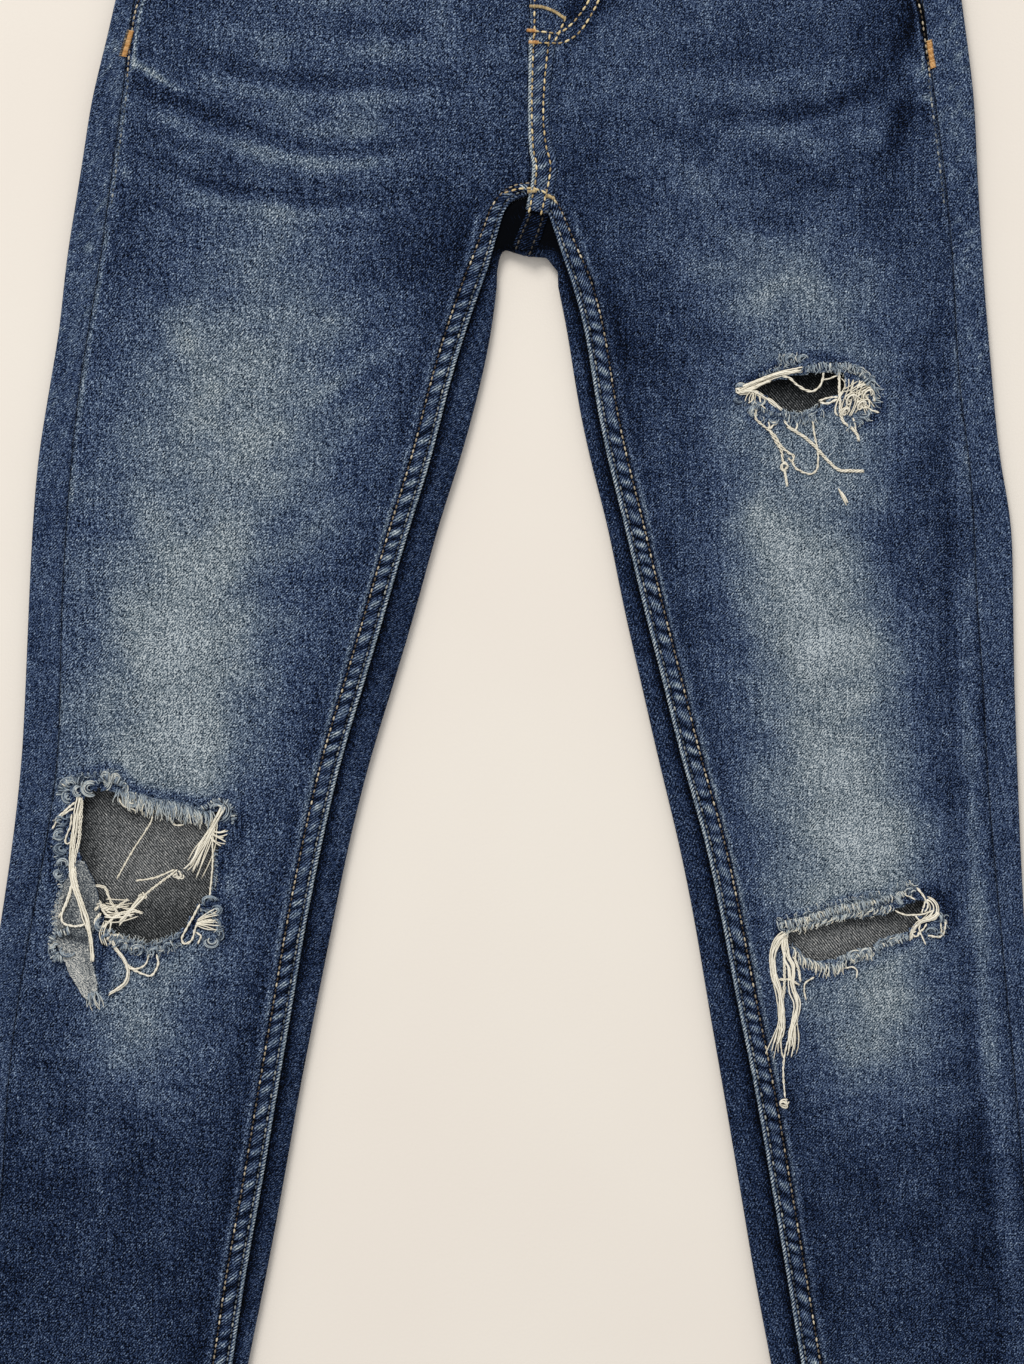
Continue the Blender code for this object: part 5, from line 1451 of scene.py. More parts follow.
# Threads fanned out between two routes
def fanned(first, last, count, radius, seed, pale=0.86):
    rng = random.Random(seed)
    ends = [smoothRoute(route, 8) for route in (first, last)]
    ends = [route[np.linspace(0, len(route) - 1, 18).astype(int)] for route in ends]
    made = []
    for i in range(count):
        share = (i + rng.uniform(-0.3, 0.3)) / max(count - 1, 1)
        place = lerp(ends[0], ends[1], share)
        bow = np.sin(np.linspace(0, np.pi, len(place))) * rng.gauss(0, 0.8)
        place = place + sidewaysOf(place) * bow[:, None]
        place = place[rng.randint(0, 2):len(place) - rng.randint(0, 3)]
        points = np.column_stack([place, restingLevel(place) + 0.3 + 0.5 * rng.random()]) * mm
        made.append((points, radius * rng.uniform(0.8, 1.15), rng.uniform(pale - 0.2, pale + 0.2)))
    return made


# A small knot: a few uneven turns of one thread
def knot(centreX, centreY, size, seed, radius=0.42):
    rng = random.Random(seed)
    base = restingLevel((centreX, centreY))[0] + 0.3
    turns = []
    for _ in range(4):
        angle = rng.uniform(0, 6.28) + np.linspace(0, rng.uniform(3.6, 6.0), 14)
        wide, tall, lean = size * rng.uniform(0.6, 1.1), size * rng.uniform(0.45, 0.9), rng.uniform(0, 3.14)
        u, v = wide * np.cos(angle), tall * np.sin(angle)
        x = centreX + rng.gauss(0, 0.2) * size + u * math.cos(lean) - v * math.sin(lean)
        y = centreY + rng.gauss(0, 0.2) * size + u * math.sin(lean) + v * math.cos(lean)
        z = base + 0.3 * size * (1 + np.sin(angle + lean))
        turns.append((np.stack([x, y, z], axis=1) * mm, radius, rng.uniform(0.75, 1.05)))
    return turns


# Loose warp threads of each rip. A bundle is its plies, spread in mm and route; a fan is how many threads
# lie between two routes; a knot is its place and size.
looseThreads = {
    "fray_right_knee_outer": dict(bundles=[
        (5, 1.25, -216, -57.5, -217.8, -67.4, -219.4, -78.6, -220.2, -88.2, -219.2, -98, -216, -109, -212.8,
         -118.6, -210.6, -128.2, -209.6, -141.5),
        (3, 0.6, -215, -59, -215.6, -69, -216.6, -80, -218.6, -89, -217.4, -101.5, -213.8, -113),
        (2, 0.25, -218.4, -60, -224, -65, -229.4, -69.5), (2, 0.2, -219, -63, -226, -67.6, -229.9, -73.5),
        (2, 0.2, -220, -66, -220.8, -72.2, -223.2, -78.6, -222.4, -81, -220.6, -80),
        (2, 0.25, -219.2, -99, -222, -108, -224.8, -116.2, -224, -120.4, -218.4, -122, -212.8, -121),
        (2, 0.25, -219.6, -101, -221.6, -109, -226.4, -118),
        (2, 0.15, -179.2, -63.4, -180.8, -70.6, -188, -81.8, -192.8, -89.8, -197.6, -98.6),
        (2, 0.2, -196.8, -57.8, -194.4, -61.8, -189.6, -63.4, -188, -65),
        (2, 0.15, -171.2, -67.4, -168.8, -71.4, -164, -71.4),
    ]),
    "fray_right_knee_inner": dict(bundles=[
        (5, 1.3, -144, -61.5, -147.2, -67.4, -151.2, -75.4, -156, -83.4, -160.8, -91.4, -165, -95.5),
        (2, 0.2, -149.6, -77, -149.8, -93, -151.2, -107.4),
        (2, 0.3, -156, -111, -160, -118.6, -164.8, -127.4, -163.8, -130.8, -160, -129, -158.4, -123.4, -156,
         -120.2, -149.6, -118.6), (2, 0.2, -158, -125, -155.5, -127, -157, -131),
        (2, 0.35, -167.2, -93.8, -176.8, -101, -184.8, -107.4),
        (4, 0.8, -184, -106.6, -189.6, -113, -197.6, -122),
        (2, 0.2, -168.8, -93.8, -178.4, -97.8, -188, -99.4),
    ], fans=[
        (9, [-147, -69, -152, -76, -158.5, -84, -163.5, -93], [-148, -72, -151, -85, -157.5, -103]),
        (8, [-150, -74, -146, -74.5, -141.5, -73], [-151, -77, -147.5, -79.5, -143.5, -82.5]),
        (10, [-157, -119, -152, -116, -146, -112.5], [-158, -121, -152.5, -122.5, -146, -125]),
    ], knots=[(-184.3, -106.8, 1.5), (-166.2, -96.6, 2)]),
    "fray_right_knee_bottom": dict(bundles=[
        (3, 0.45, -208, -101.5, -203.2, -103.2, -201.6, -107.4, -198.4, -113.8, -195.5, -118),
        (3, 0.5, -207.2, -110.6, -203, -113.5, -197.5, -112, -192, -113.5, -184.5, -115.5),
        (3, 0.4, -205.5, -115.5, -208.3, -120, -205.5, -123, -201, -119.5, -197, -116),
        (3, 0.45, -206.5, -109, -204, -115, -199.5, -118, -194, -115, -190, -117.5),
        (3, 0.4, -208.5, -114, -204.5, -111.5, -200, -114, -196, -111.5, -192, -108.5),
        (4, 0.65, -200.8, -126, -198.4, -133, -194.4, -137.8, -192, -144.2, -193.6, -150.6, -202.6, -157),
        (3, 0.4, -202.5, -129, -200, -126.6, -195.6, -127, -192.8, -131.4),
        (2, 0.2, -193.6, -140.5, -188, -143.4, -183.2, -141, -181.6, -136.2),
        (2, 0.25, -192.8, -142, -184.8, -145.8, -180, -146.6, -176.8, -141, -177.6, -136),
    ], fans=[
        (8, [-203, -109, -197, -110, -190, -109.5], [-204, -119, -197, -118.5, -187, -117]),
        (5, [-204, -120, -206.5, -126, -204, -133], [-200, -120, -201, -126, -200, -131]),
    ]),
    "fray_left_thigh_top": dict(bundles=[
        (6, 1.15, 113, 145.6, 117.8, 147.9, 124.2, 150.3, 132.3, 153.3, 139.3, 154.9, 146.8, 156.4),
        (4, 0.6, 114, 145, 119, 146, 125, 149, 132, 151.5),
        (4, 0.8, 113.5, 144.6, 120.7, 145, 125.3, 142.7, 130, 140, 135.3, 134.8),
        (2, 0.3, 134.7, 152.9, 138.8, 152, 141.7, 149.1, 146.3, 146.2, 150.4, 145.3, 153.9, 147.9, 155.4,
         151.4, 155.7, 155), (2, 0.2, 155.7, 151.1, 158.6, 151.7, 162.8, 153.2),
    ], fans=[
        (8, [119, 145, 117.5, 142.5, 116, 140], [124, 143.5, 125, 139, 126.8, 136.5]),
    ], knots=[(112.6, 145.5, 1.1)]),
    "fray_left_thigh_end": dict(bundles=[
        (3, 0.45, 163.3, 156, 163.6, 150.8, 163.6, 145, 164.1, 138.6, 164.4, 133.3, 165.9, 129.8, 169.7,
         126.9, 172.3, 124, 173.4, 120.3), (2, 0.25, 170.3, 132, 171.4, 128.7, 172, 124.6),
        (2, 0.25, 153.3, 140.3, 158, 142.1, 163, 142.4), (2, 0.25, 153.9, 139.7, 158, 139.2, 162.8, 141.5),
        (2, 0.2, 174, 141, 178, 141, 178.5, 137.5, 175, 137, 174.5, 140),
        (2, 0.2, 175, 139, 179.5, 136, 183.5, 134.5), (3, 0.35, 172, 148, 177, 148.5, 180.5, 145, 181, 140),
    ], fans=[
        (9, [166.5, 147.5, 162.5, 140, 161.6, 134.5, 164.4, 132.2], [174.5, 146, 172.6, 139, 169.2, 132]),
        (7, [165, 146, 169, 148, 175, 152], [170, 141, 174.5, 145, 181, 147]),
        (5, [171, 141, 174, 137, 177, 133], [172, 145, 177.5, 141, 181, 137]),
        (9, [165.4, 146, 165, 149, 164.6, 152], [174.5, 145, 176.4, 148.4, 178.4, 151.6]),
    ], knots=[(178, 144, 2.6), (169.5, 141.5, 2.6), (174.8, 138.6, 2.2), (167, 135.4, 1.8)]),
    "fray_left_thigh_bottom": dict(bundles=[
        (2, 0.35, 122.4, 137.5, 121.6, 132, 124.8, 128.7, 128.3, 125.8, 132.3, 119.3, 134.7, 115.3, 135.3,
         109.5), (3, 0.4, 136.3, 105.2, 137, 101.3, 137.6, 97.6),
        (2, 0.35, 128.1, 126, 131.2, 123.4, 134.7, 117.6, 138.2, 114.7, 140.8, 112.9, 140, 110.3, 138, 112),
        (2, 0.25, 139.7, 110.6, 142.3, 106.5, 148.7, 103.9, 152.2, 105.9, 153, 110, 152.8, 114.7, 151.6,
         121.7, 150.7, 126.3, 150.4, 132),
        (3, 0.55, 137.6, 127.8, 141.7, 125.2, 146.3, 122.3, 151.6, 117.6, 155.7, 112.9, 159.2, 109.4, 163.3,
         105.9, 169.1, 105.6, 176, 105.3), (2, 0.2, 141.5, 125.4, 142.4, 127.4, 142.6, 129.6),
        (2, 0.2, 139.4, 127, 137.4, 128.6, 136, 130.6), (2, 0.2, 128.2, 125.9, 128.6, 128, 128.2, 130),
        (2, 0.2, 128.6, 126, 130.6, 128.4, 132.6, 129.4),
    ], fans=[
        (6, [162.8, 96.5, 164.6, 92, 167, 87], [164.2, 95.5, 166.4, 92.4, 168.4, 88.4]),
    ], knots=[(136, 107.2, 2)]),
    "fray_left_knee_tail": dict(bundles=[
        (7, 1.6, 137, -125.6, 132.4, -130, 130.2, -138, 131.1, -147.4, 133.6, -155.8, 134.6, -167, 134,
         -175.4, 131.5, -182),
        (7, 1.7, 136.5, -128, 137, -137.6, 139.3, -142.5, 140.2, -153, 142.3, -160, 141.6, -168, 139.8,
         -175, 138.8, -183), (3, 0.45, 136, -130, 136.2, -142, 136, -153, 135.3, -159),
        (3, 0.4, 140.9, -137, 143.4, -144.6, 144.1, -150),
        (2, 0.25, 133.2, -148.8, 138.8, -148.8, 143.7, -151.6),
        (2, 0.25, 138, -179, 136.5, -185, 135.5, -193.5, 136, -202, 136.5, -208),
    ], fans=[
        (6, [133, -172, 130.5, -179, 126.5, -187.5], [135, -172, 135, -180, 136.5, -190]),
        (6, [139.5, -172, 138.5, -180, 137, -188], [142.5, -170, 143.3, -178, 142.6, -187]),
    ], knots=[(136, -210.5, 2.2)]),
    "fray_left_knee_bottom": dict(bundles=[
        (2, 0.15, 151, -147.5, 147, -150, 146, -153.5, 147, -159),
        (2, 0.15, 166, -143, 170.5, -142.5, 172.5, -144.5, 172, -148),
    ]),
    "fray_left_knee_end": dict(bundles=[
        (2, 0.15, 191.5, -114, 194.2, -115.7, 198.2, -116.5, 205.2, -116, 211.2, -114),
        (2, 0.25, 202.2, -102.7, 204.2, -105, 206.5, -108.7, 206.2, -111.3, 204.6, -115.7),
        (2, 0.2, 206.5, -108.7, 207.8, -110.3, 207.8, -112.7, 206.3, -115),
        (4, 0.75, 213.5, -115.3, 209.8, -118, 205.2, -119.3, 201.5, -122.3, 199.8, -125.7, 199.2, -130.5),
        (2, 0.15, 201.4, -116, 203.8, -120, 203.5, -123.3, 204.2, -125.7, 206.8, -131.3),
        (2, 0.2, 207.2, -120.7, 205.8, -123.3, 203.4, -125),
        (2, 0.15, 203.2, -125, 202.8, -127, 200.8, -127, 200, -125.3, 202, -124.6),
        (2, 0.2, 214.2, -120.3, 214.6, -124, 214.2, -126.4),
        (2, 0.25, 216.8, -118.7, 216.5, -122.7, 215.8, -125.3, 214.2, -127.3, 211.5, -127.3, 207.8, -126.7),
        (2, 0.2, 196.4, -104.6, 196.8, -106.6, 199.8, -107.7, 201.6, -108.9),
    ], fans=[
        (7, [206.5, -107, 210, -108.2, 212.6, -111, 213.2, -114.5, 211.5, -118.5, 206.5, -120.5], [206.5,
         -109, 208.5, -110, 209.8, -112, 209.5, -114.5, 206.5, -117.5, 203, -119.5]),
    ]),
}
threadRadius = dict(single=0.36, bundled=0.40, hair=0.32)
for seed, (name, table) in enumerate(looseThreads.items()):
    strands = []
    for i, (count, spread, *route) in enumerate(table["bundles"]):
        radius = threadRadius["single" if count < 4 else "bundled"]
        strands += plies(route, count, spread, radius, 100 * seed + i)
    for i, (count, first, last) in enumerate(table.get("fans", [])):
        strands += fanned(first, last, count, threadRadius["hair"], 100 * seed + 60 + i)
    for place in table.get("knots", []):
        strands += knot(*place, seed)
    strandMesh(name + "_threads", strands, creamYarn, "warp_threads", [name])
print("loose threads made")

# Fringe of each rip's edges: the way it points, least and greatest length, spacing, paleness, how ruffled
# it is, and its route
fringes = {
    "fray_right_knee_top": [
        (0.16, -1, 6, 9.5, 0.36, 0.62, 0.12, -197, -53.5, -190, -56.5, -180, -59.5, -168, -61.5, -156,
         -64.5, -150, -64), (0.26, -1, 4, 7, 0.5, 0.52, 0.2, -196, -53, -184, -57, -172, -59.5, -160, -63),
        (-0.1, 1, 1.5, 3, 0.9, 0.3, 0.8, -226, -55, -218, -48, -208, -47, -198, -45),
    ],
    "fray_right_knee_side": [
        (-1, -0.1, 2, 4.5, 1.1, 0.3, 0.8, -220, -66, -226, -78, -226, -90, -223, -99),
        (1, -0.2, 1.5, 3, 1, 0.3, 0.8, -149, -82, -149, -95, -150, -104),
        (0.8, -0.6, 2.5, 5, 0.8, 0.32, 0.8, -157, -113, -149, -117, -148, -126),
        (0.2, -1, 5, 9, 0.35, 0.62, 0.12, -211.5, -156, -207.5, -155),
        (-1, -0.2, 1, 2.6, 0.6, 0.55, 0.5, -224, -101, -228, -118, -226, -126),
    ],
    "fray_right_knee_lower": [
        (0.1, 1, 2, 4.5, 0.6, 0.34, 0.3, -203, -126, -190, -131, -178, -132, -166, -127.5),
        (0.15, -1, 1.5, 3.5, 0.6, 0.36, 0.6, -200, -129, -188, -134, -176, -134, -166, -130),
    ],
    "fray_left_thigh_top_fringe": [
        (-0.5, 1, 1.5, 3, 0.8, 0.4, 0.6, 124, 152, 134, 156, 142, 158.5),
        (-0.1, 1, 3, 6, 0.8, 0.42, 0.7, 133, 158, 138, 160, 144, 160),
        (0.35, -0.9, 3, 5, 0.5, 0.4, 0.35, 146, 158, 156, 158.5, 164, 157),
        (0.9, -0.5, 3, 6, 0.5, 0.44, 0.4, 160, 158, 170, 158, 178, 152, 181, 143),
    ],
    "fray_left_thigh_low_fringe": [
        (0.05, -1, 3, 6, 0.7, 0.42, 0.5, 137, 133, 143, 132, 149, 133.5, 154, 137),
        (0.4, 1, 2, 3.5, 0.6, 0.36, 0.5, 137, 133.5, 145, 132.5, 152, 136),
        (-0.4, -1, 2, 4.5, 0.9, 0.4, 0.7, 118, 140, 121, 136, 126, 132),
        (0.8, -0.7, 2.5, 5, 0.7, 0.34, 0.7, 168, 129, 176, 133, 181, 141),
    ],
    "fray_left_knee_top": [
        (-0.25, -1, 2.5, 4.5, 0.5, 0.74, 0.25, 136, -123.5, 150, -120, 165, -116, 190, -111.5),
        (0.35, -1, 2.5, 4, 0.5, 0.68, 0.3, 134, -120.5, 148, -116.5, 164, -111.5, 190, -106.5),
        (-0.5, 1, 1.5, 3, 1.1, 0.46, 0.5, 134, -120, 148, -116, 164, -111, 184, -107),
        (-0.6, 1, 2, 4, 0.9, 0.5, 0.8, 192, -104, 197, -103, 203, -101),
    ],
    "fray_left_knee_low_fringe": [
        (0.25, -1, 4.5, 7.5, 0.62, 0.98, 0.06, 140, -132, 144, -136.5, 150, -139.5, 158, -141, 165, -139.5),
        (0.3, -1, 3, 6, 0.9, 0.3, 0.12, 140, -131, 146, -137, 154, -140, 163, -140),
        (0.4, -1, 2.5, 5, 0.6, 0.62, 0.6, 164, -139, 172, -137, 180, -134),
        (-0.8, -1, 4, 7.5, 0.6, 0.58, 0.18, 184, -128.5, 190, -127, 198, -125),
        (1, -0.3, 2, 4, 0.9, 0.3, 0.8, 209, -112, 216, -120, 210, -128),
    ],
}
frayShape = {"Width": 0.00078, "Bend": 0.0012, "Curl": 0.0007}


# Loose points, each with the way its thread points, its length and its tint
def fringeRoots(name, edges, seed):
    rng = random.Random(seed)
    roots, aims, reaches, tints = [], [], [], []
    for aimX, aimY, least, most, spacing, pale, ruffle, *route in edges:
        for x, y in evenRoute(smoothRoute(route, 6), spacing):
            x, y = x + rng.gauss(0, 0.2), y + rng.gauss(0, 0.35)
            level = restingLevel((x, y))[0] - 0.35 + rng.uniform(0, 0.7)
            roots.append((x * mm, y * mm, level * mm))
            aims.append((aimX + rng.gauss(0, ruffle), aimY + rng.gauss(0, ruffle * 0.6),
                         rng.gauss(0.02, 0.08)))
            reaches.append(rng.uniform(least, most) * mm)
            tints.append(min(1.0, max(0.0, rng.gauss(pale - 0.22, 0.2))))
    mesh = bpy.data.meshes.new(name)
    mesh.from_pydata(roots, [], [])
    mesh.attributes.new("aim", "FLOAT_VECTOR", "POINT").data.foreach_set("vector", np.array(aims).ravel())
    mesh.attributes.new("reach", "FLOAT", "POINT").data.foreach_set("value", reaches)
    mesh.attributes.new("tint", "FLOAT", "POINT").data.foreach_set("value", tints)
    return mesh


# Ruffled stretches. Rolls are where the torn edge curls over: size, spacing of yarns, paleness and route.
# Locks are yarns that curl together: centre, two radii, first and last angle in degrees, count, paleness.
ruffles = {
    "fray_right_knee_top": dict(rolls=[
        (1.5, 1.1, 0.34, -226, -57, -225, -52, -219, -49, -213, -51),
        (1.7, 1, 0.36, -207, -50, -202, -47.5, -196, -50, -193, -54),
        (1, 0.9, 0.3, -195, -55, -188, -57.5, -180, -59.5, -170, -61, -158, -64),
        (1.3, 0.9, 0.36, -155, -63.5, -149, -60, -143.5, -60, -140, -64, -139.5, -71),
    ], locks=[
        (-221, -51, 5, 3.4, 10, 230, 6, 0.5), (-217, -54.5, 2.6, 3.2, 60, 290, 4, 0.4),
        (-211, -53.4, 4.6, 4.2, 50, 300, 6, 0.52), (-222, -57.5, 2.8, 3.2, 80, 300, 5, 0.42),
        (-203.6, -49.2, 3, 4.6, -70, 150, 5, 0.52), (-198.4, -49.4, 3, 4.6, 20, 210, 5, 0.5),
        (-195, -53, 2.6, 2.8, -90, 120, 4, 0.46), (-147, -64, 6.4, 6, -70, 140, 4, 0.46),
        (-148, -63, 3.6, 3, 0, 200, 3, 0.4), (-190, -60, 3.4, 3, 180, 330, 4, 0.55),
    ]),
    "fray_right_knee_side": dict(rolls=[
        (1.6, 0.9, 0.46, -221, -124, -227.5, -126, -230, -131, -228, -137, -224, -138.5),
    ], locks=[
        (-225.6, -69, 3, 2.2, 40, 260, 3, 0.34), (-226, -76.5, 3.2, 2.6, 60, 300, 4, 0.42),
        (-225.4, -83.5, 3.4, 2.8, 100, 350, 4, 0.34), (-224.6, -91, 3, 2.8, -40, 200, 4, 0.42),
        (-226.5, -96, 2.4, 2.2, 90, 320, 3, 0.34), (-227.8, -133.2, 3, 4.4, 60, 300, 5, 0.56),
        (-222, -135, 4, 2.8, 150, 330, 4, 0.44), (-151, -109.5, 4.4, 2.8, 0, 210, 4, 0.26),
        (-148, -114, 3, 2.4, -60, 130, 3, 0.3), (-150, -129.5, 4.4, 3.4, 150, 390, 5, 0.4),
        (-146.5, -126, 2.6, 2.8, -80, 90, 3, 0.34), (-205.5, -121, 3, 3.4, 90, 330, 4, 0.36),
        (-203, -127.5, 2.4, 2.4, 0, 240, 3, 0.4),
    ]),
    "fray_right_knee_lower": dict(rolls=[
        (1.3, 1, 0.34, -203, -125, -197, -130, -190, -132.8, -179, -133.8, -169, -130.5),
    ], locks=[
        (-195, -130.5, 3.6, 2.6, 0, 180, 4, 0.36), (-187, -134, 3.6, 2.8, 20, 200, 4, 0.42),
        (-179, -134.5, 3.2, 2.6, -20, 160, 4, 0.36), (-171.5, -132, 3, 2.4, 10, 190, 3, 0.4),
    ]),
    "fray_left_thigh_top_fringe": dict(rolls=[
        (1.3, 1, 0.34, 148, 157.5, 156, 158, 164, 158),
        (1.6, 1, 0.4, 162, 158.5, 169, 157.5, 175, 153.5, 179, 148),
    ], locks=[
        (139, 161, 3.4, 3, 0, 260, 4, 0.46), (145, 161.5, 2.8, 2.6, 30, 250, 3, 0.46),
        (114, 147.5, 2.4, 1.8, 20, 200, 3, 0.4),
    ]),
    "fray_left_thigh_low_fringe": dict(rolls=[
        (1.1, 1.1, 0.32, 120, 140, 124, 136.5, 131, 134, 138, 133, 146, 132.5),
    ], locks=[
        (113.5, 141, 2.4, 1.8, 120, 320, 3, 0.36), (121, 135, 2.2, 2.8, 60, 260, 4, 0.46),
        (124, 140.5, 3, 2.4, 180, 360, 4, 0.66), (149.5, 132, 2, 3, -60, 120, 3, 0.44),
        (131, 131, 3, 2, 190, 340, 3, 0.46), (176, 134.5, 3.4, 2.4, 200, 400, 3, 0.34),
    ]),
    "fray_left_knee_top": dict(rolls=[
        (2, 1.15, 0.58, 133, -122, 142, -120.5, 152, -117.5, 162, -114.5, 172, -112.5, 184, -110),
        (1.6, 1.1, 0.46, 182, -111, 190, -108, 197, -105.5),
    ], locks=[
        (194.5, -108, 2.6, 3, 60, 300, 5, 0.6), (198.5, -104.5, 2.6, 2.2, 0, 200, 3, 0.5),
        (200.5, -106, 2.2, 2.6, 60, 220, 3, 0.44), (135.5, -122.5, 2.6, 2.2, 60, 280, 4, 0.56),
    ]),
    "fray_left_knee_low_fringe": dict(rolls=[
        (1.3, 1, 0.46, 164, -138.5, 170, -137.5, 180, -134, 190, -130.5, 199, -127),
    ], locks=[
        (171, -137, 3.2, 3, 60, 300, 5, 0.66), (177, -136, 3, 3, -20, 200, 5, 0.62),
        (183.5, -132.5, 2.6, 2.6, 90, 280, 3, 0.56), (209.5, -124.5, 3.4, 2.4, 0, 200, 4, 0.34),
        (213, -118, 2.4, 3.4, -70, 90, 3, 0.24),
    ]),
}


# Yarns laid round a torn edge that has curled over, each its own piece of the turn
def rolled(size, spacing, pale, route, seed):
    rng = random.Random(seed)
    line = evenRoute(smoothRoute(route, 6), spacing / 12)
    length = np.arange(len(line)) * spacing / 12
    swell = size * (0.8 + 0.6 * lineNoise(length * 0.22, seed * 0.37, 2.0))
    turn = 2 * np.pi * length / spacing
    base = restingLevel(line) - 0.4
    place = line + sidewaysOf(line) * (swell * np.cos(turn))[:, None]
    points = np.column_stack([place, base + swell * 0.75 * (1 + np.sin(turn))])
    middle = np.column_stack([line, base + size * 0.75])
    made, start = [], 0
    while start < len(line) - 8:
        end = min(len(line), start + rng.randint(7, 13))
        shift = np.array([rng.gauss(0, 0.35), rng.gauss(0, 0.35), rng.gauss(0, 0.15)])
        grown = 1 + rng.uniform(-0.3, 0.35)
        piece = middle[start:end] + (points - middle)[start:end] * grown + shift
        made.append((piece * mm, rng.uniform(0.28, 0.42), rng.gauss(pale + 0.2, 0.26)))
        start = end - 2
    return made


# A lock of yarns curled together, each arc inside the last and a little higher
def lock(x, y, wide, tall, first, last, count, pale, seed):
    rng = random.Random(seed)
    made = []
    for i in range(count + 2):
        share = 1 - 0.75 * i / (count + 2)
        angle = np.radians(np.linspace(first + rng.gauss(0, 14), last + rng.gauss(0, 14), 15))
        grow = np.linspace(1.0, rng.uniform(0.75, 1.1), 15)
        places = np.column_stack([
            x + rng.gauss(0, 0.3) + wide * share * grow * np.cos(angle),
            y + rng.gauss(0, 0.3) + tall * share * grow * np.sin(angle),
        ])
        arch = (0.5 + 0.9 * (1 - share)) * np.sin(np.linspace(0, np.pi, 15))
        points = np.column_stack([places, restingLevel(places) + 0.1 + arch]) * mm
        made.append((points, rng.uniform(0.28, 0.42), rng.gauss(pale + 0.18, 0.26)))
    return made


for seed, (name, table) in enumerate(ruffles.items()):
    strands = []
    for i, (size, spacing, pale, *route) in enumerate(table["rolls"]):
        strands += rolled(size, spacing, pale, route, 60 * seed + i)
    for i, row in enumerate(table["locks"]):
        strands += lock(*row, 60 * seed + 30 + i)
    strandMesh(name + "_ruffle", strands, frayYarn, "warp_threads", sides=4, shade=0.42)
print("ruffles made")

fringeNodes = ("fray_right_knee_top", "fray_left_knee_top")  # solids that only their fringe stands for
for seed, (name, edges) in enumerate(fringes.items()):
    mesh = fringeRoots(name, edges, 40 + seed)
    piece = bakeTree(name + "_fringe", mesh, frayedEdge, dict(frayShape, Seed=seed, Yarn=frayYarn))
    keepPiece(piece, "warp_threads", [name] if name in fringeNodes else [])
print("fringes made")

# The torn flap below the right knee's rip, turned over so that its wrong side shows.
# Edges are a height, and the left and right edge there; folds are width, height in mm and route, the height
# also painted in as painted light on ridges and painted shade in hollows.
flapShape = dict(columns=25, step=0.9, curl=1.0, edges=[
    (-89, -217, -213.4), (-94, -220.2, -211.6), (-100, -223.8, -208.6), (-106, -226.2, -206.8),
    (-112, -227.6, -206), (-119, -228.6, -206.6), (-126, -227.8, -209.4), (-131, -227.4, -211.6),
    (-136, -226, -210.8), (-141.5, -222.8, -209.4), (-147.8, -220.2, -207.9), (-152, -217.6, -206.9),
    (-156, -215.2, -207.2), (-158.5, -212.6, -208.6),
])
flapFoldsLitAndShaded = [
    (1.5, -0.5, -229, -125, -222, -127, -214, -129.5, -209, -131),
    (0.9, -0.3, -214, -133, -211.5, -142, -209.5, -152), (1.6, -0.2, -225, -106, -221, -114, -219, -124),
    (1.8, -0.16, -216, -98, -213, -108, -212, -120), (1.5, 0.16, -221, -101, -217, -111, -215, -122),
    (0.9, 0.4, -224, -104, -227, -113, -227.5, -123),
]


def tornFlap():
    table = np.array(flapShape["edges"])[::-1]
    heights = np.arange(table[0, 0], table[-1, 0], flapShape["step"])
    low, high = [softened(np.interp(heights, table[:, 0], table[:, column]), 1.5) for column in (1, 2)]
    ragged = fieldNoise(heights * mm, heights * 0, 2.2, 2.0)
    share = np.linspace(0, 1, flapShape["columns"])
    across = lerp((low + 1.1 * ragged)[:, None], (high + 0.4 * ragged[::-1])[:, None], share[None])
    x = across * mm
    y = np.broadcast_to(heights[:, None], x.shape) * mm + 0.8 * mm * fieldNoise(x, x * 0, 6, 4.0)
    edge = np.exp(-(across - low[:, None]) / 2.2) + 0.7 * np.exp(-(high[:, None] - across) / 1.6)
    height = 0.15 + flapShape["curl"] * edge * (0.7 + 0.5 * fieldNoise(x, y, 5, 5.0))
    height += 0.45 * np.abs(fieldNoise(x, y, 6, 9.0))
    wash = 0.30 + 0.34 * smooth((-y / mm - 127) / 8) + 0.06 * edge + 0.15 * fieldNoise(x, y, 5, 3.0)
    for line in flapFoldsLitAndShaded:
        fold = stroke(x, y, line)
        height += 1.5 * fold
        # painted light on the folds' ridges, painted shade in their hollows
        wash += fold
    grid = np.stack([x, y, levelAt(y) + clothWall / 2 + (0.3 + height) * mm], axis=-1)
    clothShell("torn_flap_right_knee", "torn_cloth_right_knee", "denim_wrong_side", grid, 1, tornFace,
               wash, 0.5, clothUv(grid, 10), wrong=faceRight, wall=1.0 * mm, restsOn=["front_right"])


tornFlap()
print("torn flap made")


# Aged brass: lacquer rubbed off the high places, brown in the hollows
def brass():
    material, add, surface = newMaterial("antiqued brass", {"Metallic": 1.0})
    place = add("ShaderNodeTexCoord").outputs["Object"]
    tarnish = add("ShaderNodeTexNoise", {"Vector": place, "Scale": 320.0, "Detail": 4.0})
    ramp = add("ShaderNodeValToRGB", {0: tarnish})
    spreadColours(ramp, [(0.35, "#5c4024"), (0.62, "#b98b4c")])
    rough = add("ShaderNodeMapRange", {0: tarnish, 1: 0.3, 2: 0.7, 3: 0.55, 4: 0.30})
    bump = add("ShaderNodeBump", {"Height": tarnish, "Strength": 0.3, "Distance": 0.0002})
    add(surface, {"Base Color": ramp, "Roughness": rough, "Normal": bump})
    return material


brassFinish = brass()
for nodeName in ("waist_button", "zip"):
    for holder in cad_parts[nodeName].material_slots:
        holder.material = brassFinish


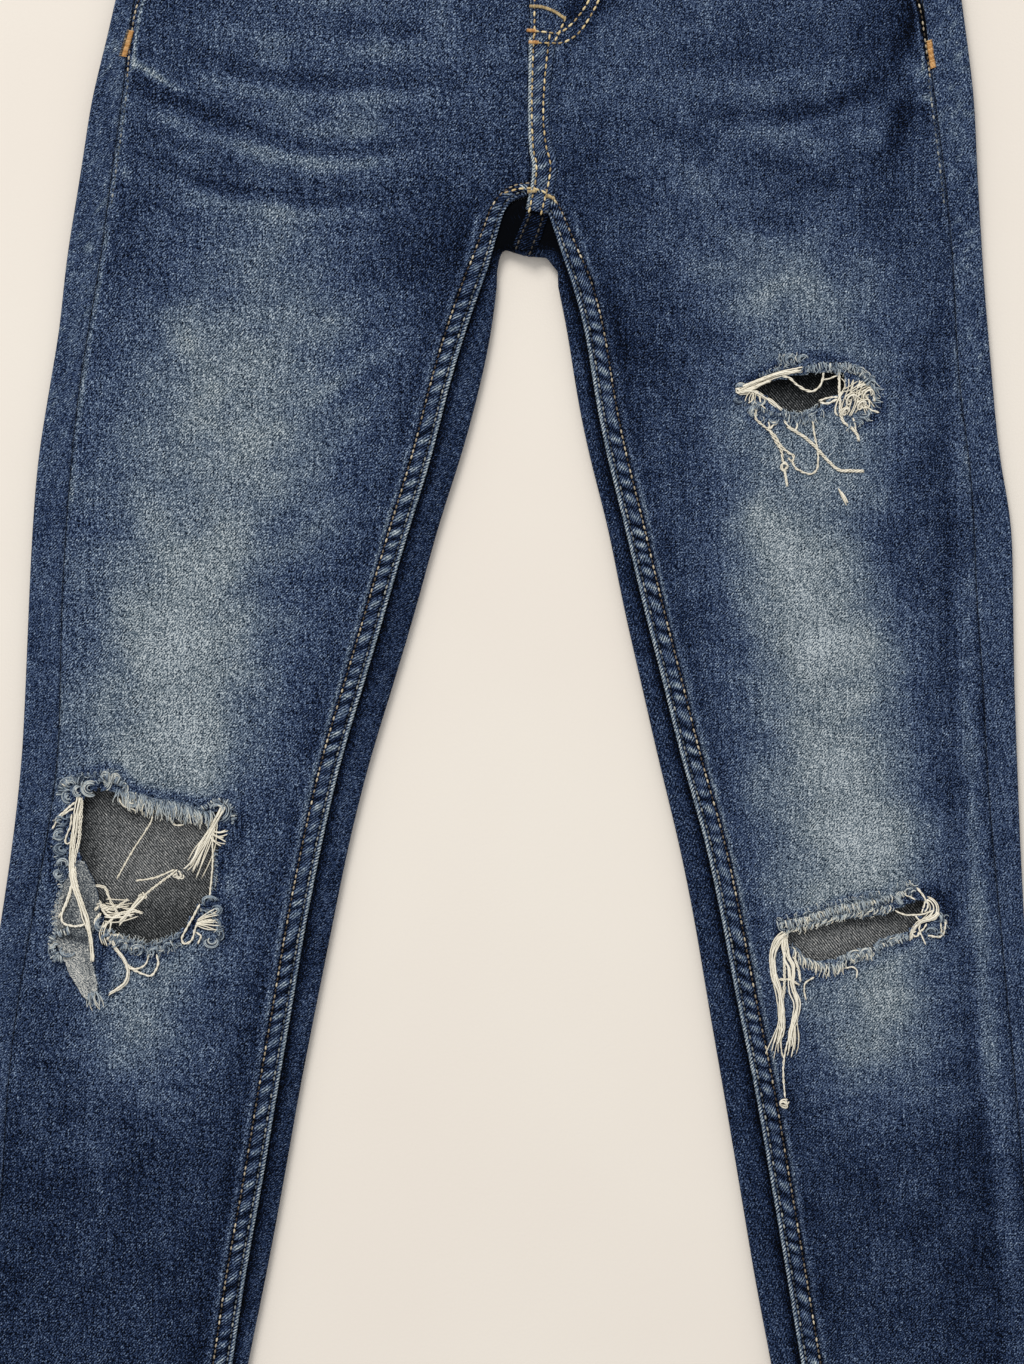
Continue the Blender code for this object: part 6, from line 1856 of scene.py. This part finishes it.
# Seamless matt paper, warm white, with a faint unevenness
def paper():
    material, add, surface = newMaterial("matt backdrop paper", {
        "Roughness": 0.95, "Specular IOR Level": 0.1,
    })
    place = add("ShaderNodeTexCoord").outputs["Object"]
    cloud = add("ShaderNodeTexNoise", {"Vector": place, "Scale": 5.0, "Detail": 3.0})
    ramp = add("ShaderNodeValToRGB", {0: cloud})
    spreadColours(ramp, [(0.35, "#e8e2db"), (0.65, "#eae5de")])
    tooth = add("ShaderNodeTexNoise", {"Vector": place, "Scale": 900.0, "Detail": 2.0})
    bump = add("ShaderNodeBump", {"Height": tooth, "Strength": 0.3, "Distance": 0.0002})
    add(surface, {"Base Color": ramp, "Normal": bump})
    return material


floorShape = dict(size=16.0, below=0.8 * mm)  # below the jeans, clear of the pockets' stitches
studio = dict(sky=0.62, lampPower=245.0, lampPlace=(-1.5, 4.3, 3.9), lampSize=2.6)
camera = dict(lens=85.0, sensor=36.0, distance=1.6103, plane=5 * mm)


def makeFloor():
    half, level = floorShape["size"] / 2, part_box("back_right")[0].z - floorShape["below"]
    corners = [(-half, -half, level), (half, -half, level), (half, half, level), (-half, half, level)]
    pushMesh("floor", corners, [(0, 1, 2, 3)], [paper()])


def makeLight():
    world = bpy.data.worlds.new("studio")
    bpy.context.scene.world = world
    world.use_nodes = True
    sky = world.node_tree.nodes["Background"]
    sky.inputs["Color"].default_value = hexColour("#fffdfa")
    sky.inputs["Strength"].default_value = studio["sky"]
    lamp = bpy.data.lights.new("softbox", "AREA")
    lamp.energy = studio["lampPower"]
    lamp.shape = "SQUARE"
    lamp.size = studio["lampSize"]
    lamp.color = hexColour("#fffaf2")[:3]
    softbox = addPiece("softbox", lamp)
    softbox.location = studio["lampPlace"]
    softbox.rotation_euler = (-Vector(studio["lampPlace"])).to_track_quat("-Z", "Y").to_euler()


def makeCamera():
    lens = bpy.data.cameras.new("camera")
    lens.lens = camera["lens"]
    lens.sensor_width = camera["sensor"]
    lens.clip_start = 0.01
    viewer = addPiece("camera", lens)
    viewer.location = (0.0, 0.0, camera["plane"] + camera["distance"])
    bpy.context.scene.camera = viewer


makeFloor()
makeLight()
makeCamera()
bpy.context.scene.view_settings.view_transform = "Standard"
print("stage set")

# Every piece goes under the root body, and the nodes it stands for are hidden
for entry in pieceList:
    piece = entry["piece"]
    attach(piece, "root")
    if entry["nodes"]:
        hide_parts(*entry["nodes"])
    if entry["cut"]:
        width, length, area = entry["cut"]
